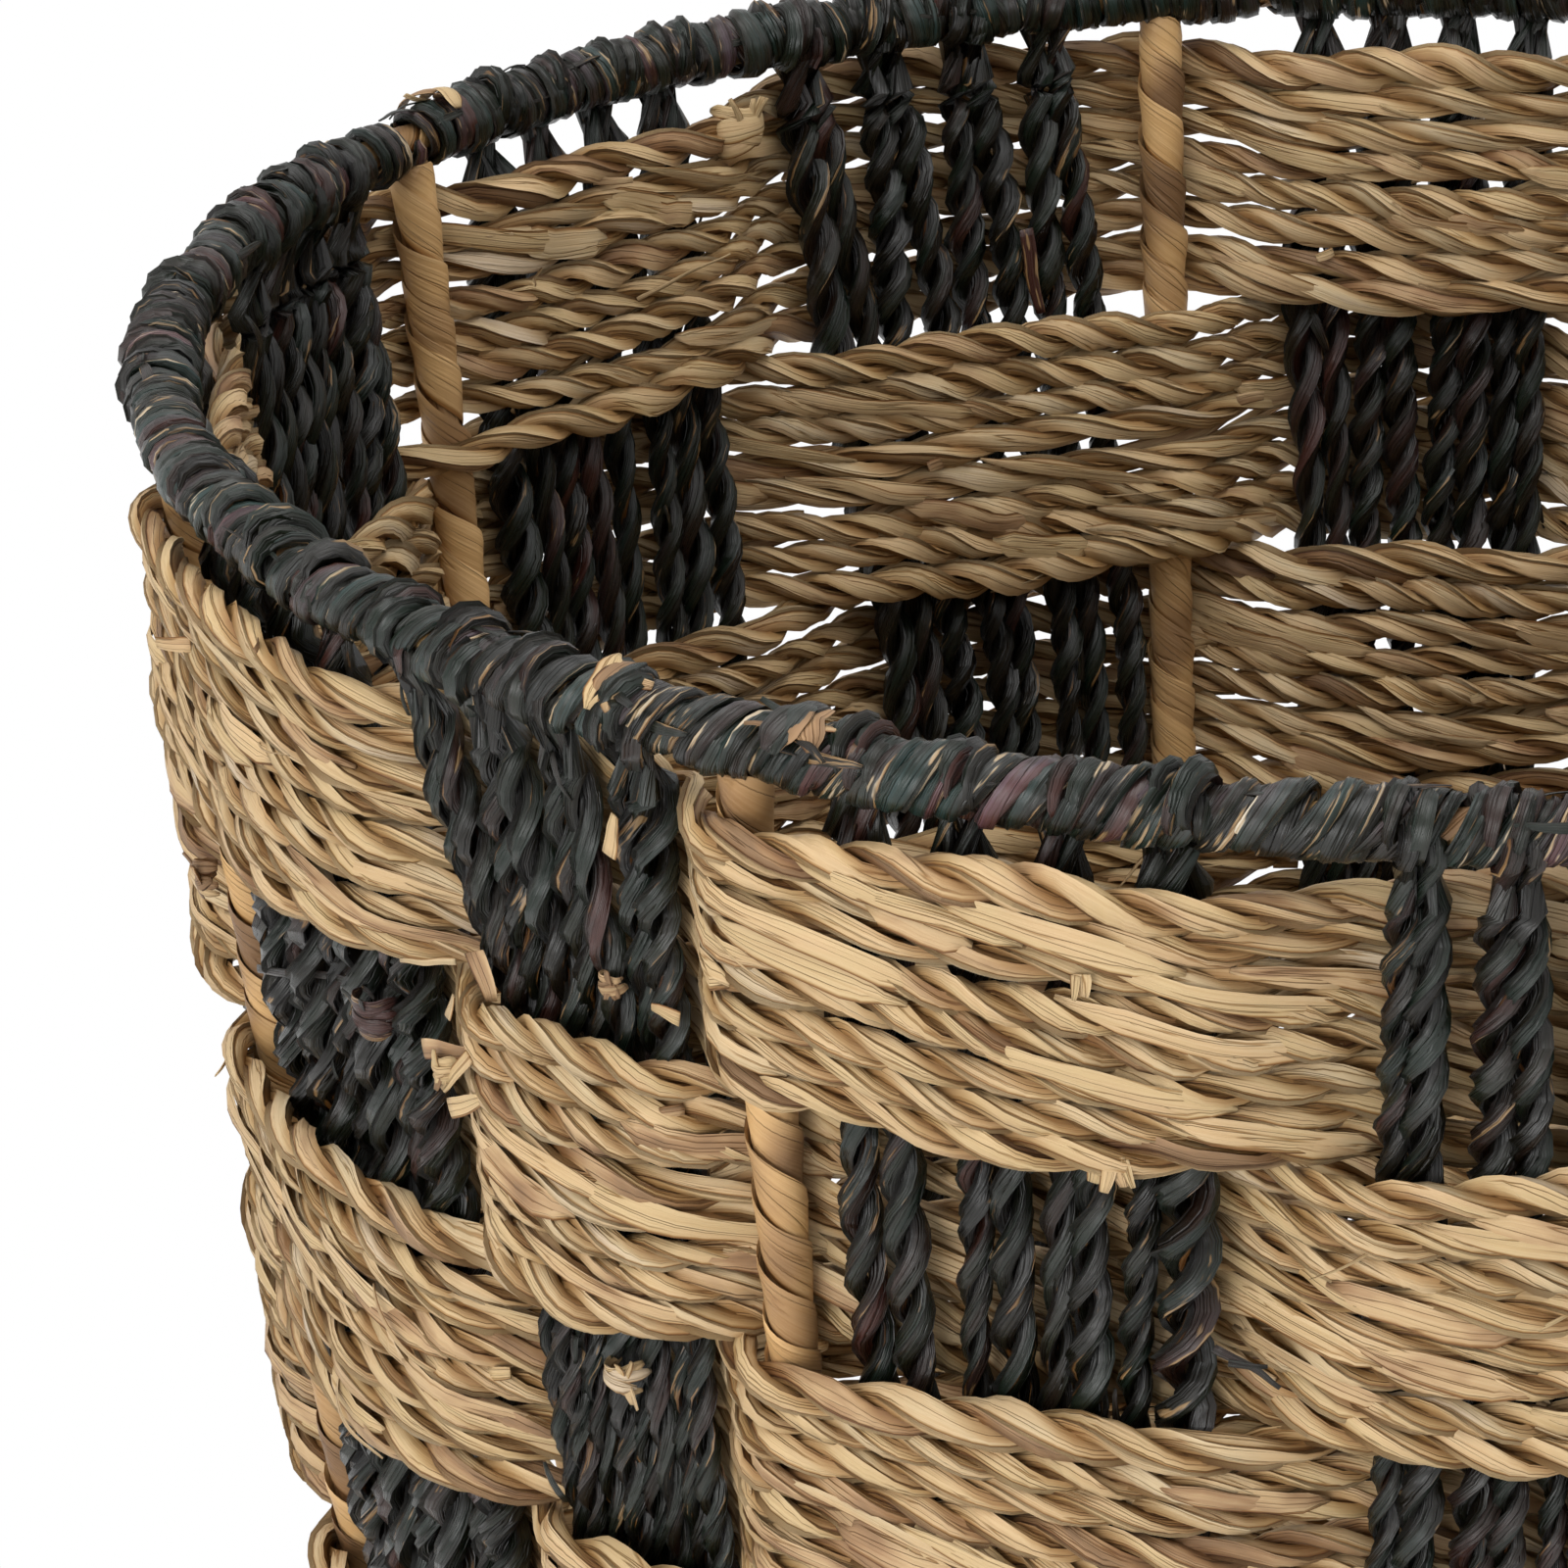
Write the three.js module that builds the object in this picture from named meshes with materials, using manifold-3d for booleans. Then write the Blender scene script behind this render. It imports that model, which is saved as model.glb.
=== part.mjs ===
// A round seagrass basket, woven in checks on a wire frame. Millimetres, +Z up.
// The origin is the middle of the base, on the surface that the basket stands on.
// Dark warp groups hang from the rim and stand still. Broad natural weft bands go round the wall, each
// passing outside one group and inside the next, and the band below does the opposite.
import * as THREE from "three";
import { mergeVertices } from "three/addons/utils/BufferGeometryUtils.js";
import Module from "manifold-3d";

// Driving dimensions of the wire frame
const rimRadius = 200;
const baseRadius = 144;
const overallHeight = 415;
const postCount = 8;
const postDiameter = 7.5;
const rimHoopDiameter = 5.5;
const baseHoopDiameter = 9;
const crossWireDiameter = 4;

// Driving dimensions of the weave
const bandCount = 9;
const bandThickness = 5.6;
const bandOverlap = 4.5;
const bandSwell = 1.3;
const bandRestOnPost = 5;
const cordsPerGroup = 8;
const cordThickness = 6;
const cordGroove = 1.3;
const groupEdgeThickness = 1.7;
const gapRimToBand = 4.8;
const postToGroup = 6;
const groupToGroup = 14;
const groupToPost = 9.5;

// Driving dimensions of the winding on the rim and of the woven base
const rimWrapDiameter = 11;
const wrapGap = 0.6;
const wrapCrownShare = 0.5;
const basePanelThickness = 6;
const basePanelFloor = 1.6;
const basePanelBevel = 1.5;

// Least gap between two pieces that touch on the real basket
const clearance = 0.3;

// Facets
const hoopSegments = 56;
const hoopSides = 8;
const turnSteps = 8;
const postSides = 8;
const wireSides = 8;
const weldDistance = 1e-4;

// Places that follow from the sizes above
const tau = 2 * Math.PI;
const rimZ = overallHeight - rimWrapDiameter / 2;
const baseZ = baseHoopDiameter / 2;
const bandsTop = rimZ - rimWrapDiameter / 2 - gapRimToBand;
const bandsBottom = baseHoopDiameter + clearance;
const bandPitch = (bandsTop - bandsBottom) / bandCount;

// Radius of the wall's middle surface at a height: a cone through both hoops
function wallRadius(z) {
  return baseRadius + ((rimRadius - baseRadius) * (z - baseZ)) / (rimZ - baseZ);
}

// Angles inside one bay, which runs from one post to the next. Lengths along the wall are turned into
// angles at the base, where the wall is tightest, so that what clears there clears everywhere.
const bay = tau / postCount;
const angleOf = (length) => length / baseRadius;
const postAngle = angleOf(postDiameter / 2);
const groupSpan =
  (bay - 2 * postAngle - angleOf(postToGroup + groupToGroup + groupToPost)) / 2;
const firstGroup = postAngle + angleOf(postToGroup);
const secondGroup = firstGroup + groupSpan + angleOf(groupToGroup);

function at(radius, angle, z) {
  return new THREE.Vector3(radius * Math.cos(angle), radius * Math.sin(angle), z);
}

// Triangles between rings of points, kept as one list until the body is closed
class Skin {
  constructor() {
    this.points = [];
  }

  triangle(a, b, c) {
    this.points.push(a, b, c);
  }

  between(ring, next) {
    ring.forEach((point, i) => {
      const j = (i + 1) % ring.length;
      this.triangle(point, next[i], next[j]);
      this.triangle(point, next[j], ring[j]);
    });
  }

  along(rings) {
    rings.slice(1).forEach((ring, i) => this.between(rings[i], ring));
  }

  // Closes the first or the last ring. outline holds that ring laid flat, counterclockwise
  cap(ring, outline, isFirst) {
    for (const [a, b, c] of THREE.ShapeUtils.triangulateShape(outline, [])) {
      if (isFirst) this.triangle(ring[a], ring[b], ring[c]);
      else this.triangle(ring[a], ring[c], ring[b]);
    }
  }

  geometry() {
    const made = new THREE.BufferGeometry().setFromPoints(this.points);
    made.computeVertexNormals();
    return made;
  }
}

// Materials
const naturalGrass = { color: 0xc9ac78, roughness: 0.78, metalness: 0 };
const darkGrass = { color: 0x23262a, roughness: 0.7, metalness: 0 };
const wrapRibbon = { color: 0xb98f58, roughness: 0.62, metalness: 0 };

function addMesh(group, name, geometry, look) {
  const mesh = new THREE.Mesh(geometry, new THREE.MeshStandardMaterial(look));
  mesh.name = name;
  group.add(mesh);
  return mesh;
}

// One turned body about Z from a profile of radius and height
function turned(profile, segments) {
  const points = profile.map(([radius, z]) => new THREE.Vector2(radius, z));
  return new THREE.LatheGeometry(points, segments).rotateX(Math.PI / 2);
}

// A hoop with flats above and below, so that it can stand on the lower one
function hoopGeometry(radius, diameter, z) {
  const corner = diameter / 2 / Math.cos(Math.PI / hoopSides);
  const profile = [];
  for (let i = 0; i <= hoopSides; i += 1) {
    const turn = (tau * ((i % hoopSides) + 0.5)) / hoopSides;
    profile.push([radius + corner * Math.cos(turn), z + corner * Math.sin(turn)]);
  }
  return turned(profile, hoopSegments);
}

// A post leans with the wall from the base hoop to the rim hoop
function postMesh(group, index) {
  const low = baseHoopDiameter + clearance;
  const high = rimZ - rimHoopDiameter / 2 - clearance;
  const turn = index * bay;
  const foot = at(wallRadius(low), turn, low);
  const head = at(wallRadius(high), turn, high);
  const axis = head.clone().sub(foot);
  const endTrim = (postDiameter / 2) * (Math.hypot(axis.x, axis.y) / axis.z);
  const length = axis.length() - 2 * endTrim;
  const geometry = new THREE.CylinderGeometry(
    postDiameter / 2,
    postDiameter / 2,
    length,
    postSides,
  );
  const mesh = addMesh(group, `post_${index + 1}`, geometry, wrapRibbon);
  mesh.position.copy(foot.add(head).multiplyScalar(0.5));
  mesh.quaternion.setFromUnitVectors(new THREE.Vector3(0, 1, 0), axis.normalize());
}

// A warp group is a strip of cords side by side, ribbed on both faces
function warpGeometry(start) {
  const low = baseHoopDiameter + clearance;
  const high = rimZ - rimWrapDiameter / 2 - clearance;
  const crest = cordThickness / 2;
  const valley = crest - cordGroove;
  const outline = [];
  const steps = 2 * cordsPerGroup;
  for (let i = 0; i <= steps; i += 1) {
    const edge = i === 0 || i === steps;
    const depth = i % 2 === 1 ? crest : valley;
    outline.push(new THREE.Vector2(-i / steps, edge ? groupEdgeThickness / 2 : depth));
  }
  const face = outline.map((p) => new THREE.Vector2(p.x, -p.y)).reverse();
  outline.push(...face);
  const ringAt = (z) =>
    outline.map((p) => at(wallRadius(z) + p.y, start - p.x * groupSpan, z));
  const skin = new Skin();
  const rings = [ringAt(high), ringAt(low)];
  skin.along(rings);
  skin.cap(rings[0], outline, true);
  skin.cap(rings[1], outline, false);
  return skin.geometry();
}

// Offsets of a band's middle from the wall: round a post, and round the cords of a group
const offsetAtPost = postDiameter / 2 + bandThickness / 2 + clearance;
const offsetAtGroup = cordThickness / 2 + bandThickness / 2 + clearance;

// Where a band's sections stand in one bay: angle, side of the wall, offset and swell
function bandStations() {
  const shoulder = angleOf(bandRestOnPost / 2);
  const over = [
    [-shoulder, offsetAtPost, 0],
    [shoulder, offsetAtPost, 0],
    [firstGroup, offsetAtGroup, 0],
    [firstGroup + groupSpan / 2, offsetAtGroup, 1],
    [firstGroup + groupSpan, offsetAtGroup, 0],
  ];
  const under = [
    [secondGroup, -offsetAtGroup, 0],
    [secondGroup + groupSpan / 2, -offsetAtGroup, 1],
    [secondGroup + groupSpan, -offsetAtGroup, 0],
  ];
  return [...over, ...under];
}

// How far a chord between two stations lies inside its circle
function chordSag(radius, step) {
  return radius * (1 - Math.cos(step / 2));
}

// A band is taller and stands further off the wall in the middle of each run. It clears the cords by twice
// the sag of its own chords, because the cords that it passes are straight between stations too.
function bandSection(angle, middleZ, offset, swell, side) {
  const half = (bandPitch - clearance + swell * bandOverlap) / 2;
  const edge = half - bandThickness / 2;
  const facetAllowance = 2 * chordSag(wallRadius(middleZ), groupSpan / 2);
  const away = offset + Math.sign(offset) * swell * (bandSwell + facetAllowance);
  const thick = bandThickness / 2;
  const outline = [
    [0, half],
    [-thick, edge],
    [-thick, -edge],
    [0, -half],
    [thick, -edge],
    [thick, edge],
  ];
  return outline.map(([off, rise]) =>
    at(wallRadius(middleZ + rise) + side * away + off, angle, middleZ + rise),
  );
}

function bandGeometry(index) {
  const middleZ = bandsTop - (index + 0.5) * bandPitch;
  const side = index % 2 === 0 ? 1 : -1;
  const rings = [];
  for (let post = 0; post < postCount; post += 1) {
    for (const [angle, offset, swell] of bandStations()) {
      rings.push(bandSection(post * bay + angle, middleZ, offset, swell, side));
    }
  }
  const skin = new Skin();
  skin.along([...rings, rings[0]]);
  return skin.geometry();
}

// A winding is one unbroken flat cord round the rim hoop, with a turn for each cord of the group below it.
// Its turns climb on the outside towards the next group.
const windingOuter = rimWrapDiameter / 2;
const windingGap = wrapGap / (rimRadius - windingOuter);

function winding(start, end) {
  const facetAllowance = 2 * chordSag(rimRadius, tau / hoopSegments);
  const hoopCorner = rimHoopDiameter / 2 / Math.cos(Math.PI / hoopSides);
  const inner = (hoopCorner + clearance + facetAllowance) / Math.cos(Math.PI / turnSteps);
  const pitch = (end - start + windingGap) / (cordsPerGroup + 1);
  const half = (pitch - windingGap) / 2;
  const crown = half * wrapCrownShare;
  const section = [
    [crown, windingOuter],
    [-crown, windingOuter],
    [-half, inner],
    [half, inner],
  ];
  const rings = [];
  for (let i = 0; i <= cordsPerGroup * turnSteps; i += 1) {
    const middle = start + half + (pitch * i) / turnSteps;
    const turn = (tau * i) / turnSteps;
    const lean = [Math.cos(turn), Math.sin(turn)];
    rings.push(
      section.map(([along, radius]) =>
        at(rimRadius + radius * lean[0], middle + along, rimZ + radius * lean[1]),
      ),
    );
  }
  const skin = new Skin();
  const outline = section.map(([along, radius]) => new THREE.Vector2(along, radius));
  skin.along(rings);
  skin.cap(rings[0], outline, true);
  skin.cap(rings[rings.length - 1], outline, false);
  return { rings, geometry: skin.geometry() };
}

// Least distance between corners of the winding that lie half a turn or more apart
function leastGap(rings) {
  let least = Infinity;
  rings.forEach((ring, i) => {
    for (const other of rings.slice(i + turnSteps / 2)) {
      for (const a of ring) {
        for (const b of other) least = Math.min(least, a.distanceTo(b));
      }
    }
  });
  return least;
}

// Joining and cutting of closed bodies
const library = await Module();
library.setup();

function toSolid(geometry) {
  const bare = geometry.clone();
  bare.deleteAttribute("normal");
  bare.deleteAttribute("uv");
  const merged = mergeVertices(bare, weldDistance);
  return new library.Manifold(
    new library.Mesh({
      numProp: 3,
      vertProperties: merged.attributes.position.array,
      triVerts: new Uint32Array(merged.index.array),
    }),
  );
}

function fromSolid(solid) {
  const mesh = solid.getMesh();
  const made = new THREE.BufferGeometry();
  made.setAttribute("position", new THREE.BufferAttribute(mesh.vertProperties, 3));
  made.setIndex(new THREE.BufferAttribute(mesh.triVerts, 1));
  made.computeVertexNormals();
  return made;
}

// Two wires cross in the middle of the base and end at the base hoop
function crossSolid(diameter, reach, top) {
  const radius = diameter / 2;
  const wire = new THREE.CylinderGeometry(radius, radius, 2 * reach, wireSides);
  const lift = top - radius;
  const along = toSolid(wire.clone().rotateY(Math.PI / wireSides).translate(0, 0, lift));
  const across = toSolid(
    wire.rotateY(Math.PI / wireSides).rotateZ(Math.PI / 2).translate(0, 0, lift),
  );
  return along.add(across);
}

// The base panel is a flat round mat with channels that the two wires lie in
function basePanelGeometry() {
  const edge = baseRadius - baseHoopDiameter / 2 - clearance;
  const mat = turned(
    [
      [0, 0],
      [edge - basePanelBevel, 0],
      [edge, basePanelBevel],
      [edge, basePanelThickness - basePanelBevel],
      [edge - basePanelBevel, basePanelThickness],
      [0, basePanelThickness],
    ],
    hoopSegments,
  );
  const channelDepth = basePanelThickness - basePanelFloor;
  const width = crossWireDiameter + 2 * clearance;
  const channel = new THREE.BoxGeometry(width, 2 * baseRadius, 2 * channelDepth);
  channel.translate(0, 0, basePanelThickness);
  const crossing = channel.clone().rotateZ(Math.PI / 2);
  return fromSolid(toSolid(mat).subtract(toSolid(channel)).subtract(toSolid(crossing)));
}

const basket = new THREE.Group();

const frame = new THREE.Group();
basket.add(frame);
addMesh(frame, "rim_hoop", hoopGeometry(rimRadius, rimHoopDiameter, rimZ), wrapRibbon);
addMesh(frame, "base_hoop", hoopGeometry(baseRadius, baseHoopDiameter, baseZ), wrapRibbon);
const crossReach = baseRadius - baseHoopDiameter / 2 - clearance;
const crossTop = basePanelFloor + clearance + crossWireDiameter;
addMesh(
  frame,
  "base_cross",
  fromSolid(crossSolid(crossWireDiameter, crossReach, crossTop)),
  wrapRibbon,
);
for (let i = 0; i < postCount; i += 1) postMesh(frame, i);

const weave = new THREE.Group();
basket.add(weave);
const twoDigits = (number) => String(number).padStart(2, "0");
const postClear = (postDiameter / 2 + clearance) / rimRadius;
const betweenGroups = firstGroup + groupSpan + angleOf(groupToGroup) / 2;
const halfGap = clearance / 2 / rimRadius;
const windingGaps = [];
function addWinding(group, name, start, end) {
  const { rings, geometry } = winding(start, end);
  windingGaps.push(leastGap(rings));
  addMesh(group, name, geometry, darkGrass);
}
for (let i = 0; i < postCount; i += 1) {
  const turn = i * bay;
  const first = twoDigits(2 * i + 1);
  const second = twoDigits(2 * i + 2);
  addMesh(weave, `warp_group_${first}`, warpGeometry(turn + firstGroup), darkGrass);
  addMesh(weave, `warp_group_${second}`, warpGeometry(turn + secondGroup), darkGrass);
  const split = turn + betweenGroups;
  addWinding(weave, `rim_wrap_${first}`, turn + postClear, split - halfGap);
  addWinding(weave, `rim_wrap_${second}`, split + halfGap, turn + bay - postClear);
}
for (let i = 0; i < bandCount; i += 1) {
  addMesh(weave, `weft_band_${i + 1}`, bandGeometry(i), naturalGrass);
}
addMesh(weave, "base_panel", basePanelGeometry(), naturalGrass);
console.log(`Least gap of a rim winding to itself: ${Math.min(...windingGaps).toFixed(2)} mm`);

export default basket;
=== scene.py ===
"""Looks of a round seagrass basket with a check weave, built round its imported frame. Metres, +Z up."""

import math

import bpy
import numpy as np
from bpy.props import FloatProperty, FloatVectorProperty, IntProperty, PointerProperty
from mathutils import Euler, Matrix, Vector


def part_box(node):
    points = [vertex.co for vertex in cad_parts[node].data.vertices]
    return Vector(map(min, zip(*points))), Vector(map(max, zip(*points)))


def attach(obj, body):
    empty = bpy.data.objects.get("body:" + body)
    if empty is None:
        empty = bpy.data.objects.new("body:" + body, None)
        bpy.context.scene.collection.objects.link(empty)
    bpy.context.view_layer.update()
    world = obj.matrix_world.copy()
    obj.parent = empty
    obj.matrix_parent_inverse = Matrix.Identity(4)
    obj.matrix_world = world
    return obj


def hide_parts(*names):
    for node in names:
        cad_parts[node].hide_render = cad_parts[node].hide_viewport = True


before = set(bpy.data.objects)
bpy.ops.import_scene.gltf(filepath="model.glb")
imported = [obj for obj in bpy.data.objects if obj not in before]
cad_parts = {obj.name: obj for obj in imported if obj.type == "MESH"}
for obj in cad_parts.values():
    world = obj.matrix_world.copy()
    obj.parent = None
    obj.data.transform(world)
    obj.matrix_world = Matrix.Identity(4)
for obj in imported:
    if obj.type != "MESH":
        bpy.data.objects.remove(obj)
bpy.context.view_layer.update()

bl_info = {
    "name": "Seagrass basket",
    "version": (1, 0, 0),
    "blender": (4, 5, 0),
    "location": "View3D > Sidebar > Basket",
    "description": "Dresses the frame of a check-woven basket in twisted seagrass cord",
    "category": "Add Mesh",
}

BODY = "root"
MM = 0.001
TAU = 2 * math.pi
UP = np.array([0.0, 0.0, 1.0])
WHITE = (1.0, 1.0, 1.0, 1.0)

# Numbers of pieces in the frame
POSTS = 8
BANDS = 9
GROUPS = 2 * POSTS
BAY = TAU / POSTS

# Seeds: one row of random numbers for each kind of piece
SEEDS = {
    "weft": 100, "draws": 200, "warp": 300, "rim": 500, "post": 700, "hoop": 720, "cross": 740, "mat": 760,
    "ends": 800, "laid": 820, "dark ends": 840, "knots": 860, "strays": 880,
}

# How far the pattern of a blade may differ: its seed, and where along the blade it starts
PATTERN_SEEDS = 30
PATTERN_STARTS = 90

# Unit of length along a blade
RUN_UNIT = 10 * MM

# A ply: points across each of its blades, their shares of its girth, their lay and the lift of their lips
BLADES = 3
BLADE_PLACES = np.array([0.03, 0.5, 0.97])
BLADE_SHARES = np.array([0.42, 0.33, 0.25])
BLADE_START = 0.2
CORD_SIDES = BLADES * len(BLADE_PLACES)
CORD_SHARP = [column for column in range(CORD_SIDES) if column % len(BLADE_PLACES) != 1]
PLY_LAY = 1.5
LIP = 0.34

# Length over which a cord thins at its ends, and the square of its least width there as a share
END_TAPER = 7 * MM
TAPER_LEAST = 0.05

# Wanders along a length: an amount, and the length over which it changes; a setting has ROW_WAVE's amount
BLADE_WANDER = (0.34, 14 * MM)
LIP_WANDER = (0.9, 14 * MM)
BLADE_TONES = (0.5, 90 * MM)
LUMPS = (0.15, 9 * MM)
TWIST_WANDER = (0.8, 70 * MM)
ROW_WAVE = 34 * MM
ROW_LIFT = (0.5 * MM, 18 * MM)
ROW_SHAKE = (0.3 * MM, 11 * MM)
ROW_WIDTH = (0.13, 22 * MM)

# Wobbles: an amount, and how often it changes in one turn, or on one cord or blade
WARP_RELIEF = (0.3, 4)
WARP_BOW = (0.5, 12)
WARP_SWAY = (0.8 * MM, 11)
WARP_WIDTH = (0.10, 20)
RIM_TURN = (0.35, 1)
RIM_ALONG = (1.3 * MM, 2)
RIM_LIFT = (0.6 * MM, 1.5)
RIM_WIDTH = (0.25, 1.3)
RIBBON_TURN = (0.5, 1.4)
RIBBON_WIDTH = (0.14, 2)
RIBBON_LAP = (0.7, 3)
RIBBON_TONE = (1.1, 2.6)
BLADE_BEND = (0.25, 3)
BLADE_SWAY = (0.3, 3)
LAID_ROW = (0.12, 3)
LAID_ROLL = (0.35, 3)
LAID_WIDTH = (0.15, 4)
KNOT_RIDE = (0.08, 3)
KNOT_SLIDE = (0.12, 2)
KNOT_WIDTH = (0.25, 4)

# Random spreads either way: shades of blades, plies and cords, and shares of widths and twists
BLADE_SHADE = 0.6
PLY_SHADE = 0.25
ROW_SHADE = 0.2
WARP_SHADE = 0.35
RIM_SHADE = 0.3
LOOSE_SHADE = 0.2
ROW_WIDTHS = 0.04
ROW_TWISTS = 0.2
WARP_TWISTS = 0.16

# Shape of a cord as shares of its width: offset of a ply's middle, its half depth and its half breadth
FLAT_CORD = (0.225, 0.265, 0.345)
ROUND_CORD = (0.245, 0.265, 0.32)

# Ribbons and loose blades: sides, columns of points on sharp edges, facets, half thickness, tip and roll
RIBBON_SIDES = 8
RIBBON_SHARP = (2, 6)
RIBBON_STARTS = 2
LAID_SIDES = 4
LAID_SHARP = (1, 3)
LAID_STEP = 2.7 * MM
LAID_THICK = 0.4 * MM
BLADE_STEP = 1.2 * MM
BLADE_THICK = 0.16 * MM
BLADE_TIP = 0.35
BLADE_ROLL = 0.5

# Path of a weft band round the wall: points of its table, their blur and half the length pressed on a post
WAVE_STEPS = 3600
WAVE_BLUR = 10
POST_REST = 2.5 * MM

# How far a row overlaps its own start, and how much deeper the first and last row of a band are
ROW_OVERLAP = 10 * MM
EDGE_FLATNESS = 1.12

# Where a band, or one row of it, slips past a post on the other side: band and post, or band, post and row
SLIPPED_POST = (1, 3)
SLIPPED_ROW = (0, 3, 7)

# Warp groups with a wide gap after so many cords, and its share of the group; other gaps are shares of it
WARP_GAPS = {11: 2, 9: 3}
WARP_GAP = 0.075
SMALL_GAPS = (0.1, 0.7)

# Cords of a group: how far they stand aside of their place, and how much their widths differ
CORD_SHIFT = 0.10
CORD_WIDTHS = 0.14

# A group of uneven cords: place and width of each as shares of the group's width
UNEVEN_CORDS = {
    10: (
        (0.066, 0.128), (0.197, 0.110), (0.374, 0.100), (0.477, 0.112),
        (0.600, 0.100), (0.693, 0.108), (0.798, 0.112), (0.918, 0.148),
    ),
}

# Hitches: how far apart their two cords start, their turn over the rim in degrees and its points, their sink
# into the winding, slant and width, the points that blend them with the wall, and where the wall part starts
HITCH_SPREAD = 0.42
HITCH_TURN = (215, -62)
HITCH_POINTS = 15
HITCH_SINK = 1.3 * MM
HITCH_SLANT = 3.6 * MM
HITCH_WIDTH = 0.9
HITCH_BLEND = 6
WALL_HEAD = 2.1

# Warp cords: how far their width follows the group, how they spread, how they stand forward, and their depth
WIDTH_FOLLOWS = 0.55
SPREAD_CURVE = 1.5
RELIEF_LEAST = 0.7
FORWARD_WIDTH = 0.16
WARP_FLATNESS = 0.95

# Groups drawn aside, listed one by one: mm round the wall at their first and last edge, at the upper
# DRAW_HEIGHTS
GROUP_DRAWS = {
    3: ((0, -3), (0, -4), (0, -5)),
    4: ((0, 10), (-2, 3), (-7, -6)),
    5: ((3, 5), (3.5, 4.5), (3.5, 4.5)),
    8: ((3, 10), (3, 20), (4, 20)),
    9: ((0, 8), (16.5, 4), (18, 1.5)),
    10: ((-3, 5), (-3, 5), (-3, 1.5)),
    11: ((6, 6), (6, 4), (6, 2)),
}

# How far the other groups wander, in mm
DRAW_WANDER = 3

# Bare spots of the rim winding: a post, and the middle of a bay
BARE_POST = 3
BARE_MIDDLE = 5

# Ribbon on wire: shade of the wire, lift of the lap, how two ribbons differ, and overlap of a hoop
CORE_SHADE = -0.6
LAP_LIFT = 0.5
RIBBON_DIFFERS = 0.5
RIBBON_PATTERN = 40
HOOP_OVERLAP = 3 * MM

# Base mat: room of one turn, facet, share of a turn in which the coil steps out, and its press on the wires
MAT_PITCH = 5.7 * MM
MAT_STEP = 3 * MM
MAT_START = 0.0004
MAT_CLIMB = 0.15
MAT_MIDDLE = 0.3
MAT_WIDTH = 1.06
MAT_FLATNESS = 0.9
PRESS_REACH = 4 * MM
PRESS_START = 1.6
PRESS_DROP = 1.9 * MM
PRESS_FLAT = 0.62
FLOOR_GAP = 0.05 * MM

# Kinds of loose end: lean, rise, length and width in mm, curl, shade and share of its width at the tip
FRAYED_BLADE = ((0.3, 0.9), 1.4, (8, 20), (0.5, 1.4), (-1.6, 0.6), (-0.6, 0.6), 0.3)
HAIR = ((0.2, 0.6), 1.0, (6, 22), 0.35, -0.8, 0.3, 0.5)
STUB = ((0.25, 0.7), 1.0, (3, 7), (1.2, 2.8), (-1.0, 0.3), (-0.9, 0.3), 0.8)
END_KINDS = (FRAYED_BLADE, HAIR, STUB, STUB)

# Where loose ends start on a cord: lift and spread in cords, rise, and a look ahead along the row in radians
END_LIFT = 0.22
END_SPREAD = (-0.4, 0.4)
END_RISES = (-0.5, 0.5)
END_AHEAD = 0.01

# Dark loose ends on the warp and on the rim: length and width in mm, curl and shade
WARP_END = ((4, 10), (0.8, 2.4), -0.6, 0.4)
RIM_END = ((4, 11), (0.5, 2.2), -0.5, 0.3)
WARP_END_LOW = 12 * MM
WARP_END_LIFT = 2.4 * MM
WARP_END_LEANS = (-0.7, 0.7)
WARP_END_RISES = (0.15, 0.5)
RIM_END_EDGE = 0.1
RIM_END_SINK = 0.7 * MM
RIM_END_RISES = (0.1, 0.45)

# Blades laid over the rows: length and width in mm, length in which they pass a row, lift, shade and tips
LAID_LENGTHS = (14, 40)
LAID_WIDTHS = (0.8, 2.5)
LAID_CROSSING = 24 * MM
LAID_LIFT = (0.36, 1.5, 0.7)
LAID_SHADES = (-0.8, 0.55)
LAID_TAPERS = (3, 9)
LAID_TIP = (0.18, 0.7)
LAID_ARCH = 0.6
LAID_EDGES = (0.2, 1.2)
INSIDE_SPACING = 1.5

# Knots: their number of wraps, how far round the cord these reach in radians, and their number of ends;
# and how far a knot on the rim looks out for each part that it looks up
WALL_KNOT = (4, 2.8, 4)
RIM_KNOT = (2, 1.6, 2)
RIM_KNOT_LEAN = 0.4

# Wraps of a knot, in knot sizes or radians: spacing, unevenness, tilts, start, distance, bulge, facets, width
KNOT_SPACING = 0.15
KNOT_UNEVEN = (0.8, 1.2)
KNOT_TILTS = ((-0.15, 0.15), (-0.35, 0.35))
KNOT_STARTS = (-0.3, 0.3)
KNOT_RIDES = (0.92, 1.08)
KNOT_BULGE = 0.5
KNOT_STEPS = (10, 1.6)
KNOT_WIDTHS = (0.22, 0.38)
KNOT_TAPER = (2.5, 0.15)
KNOT_THICK = 0.3 * MM
KNOT_DARKER = 0.2

# Ends of a knot: lean, rise, foot, length in knot sizes, width in mm, curl and how much darker they are
KNOT_LEANS = (-0.8, 0.8)
KNOT_RISES = (0.0, 0.45)
KNOT_FOOT = (0.8, 0.5)
KNOT_LENGTHS = (0.7, 1.4)
KNOT_END_WIDTHS = (1.0, 2.4)
KNOT_CURLS = (-0.6, 0.6)
KNOT_SHADES = (0, 0.8)

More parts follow.
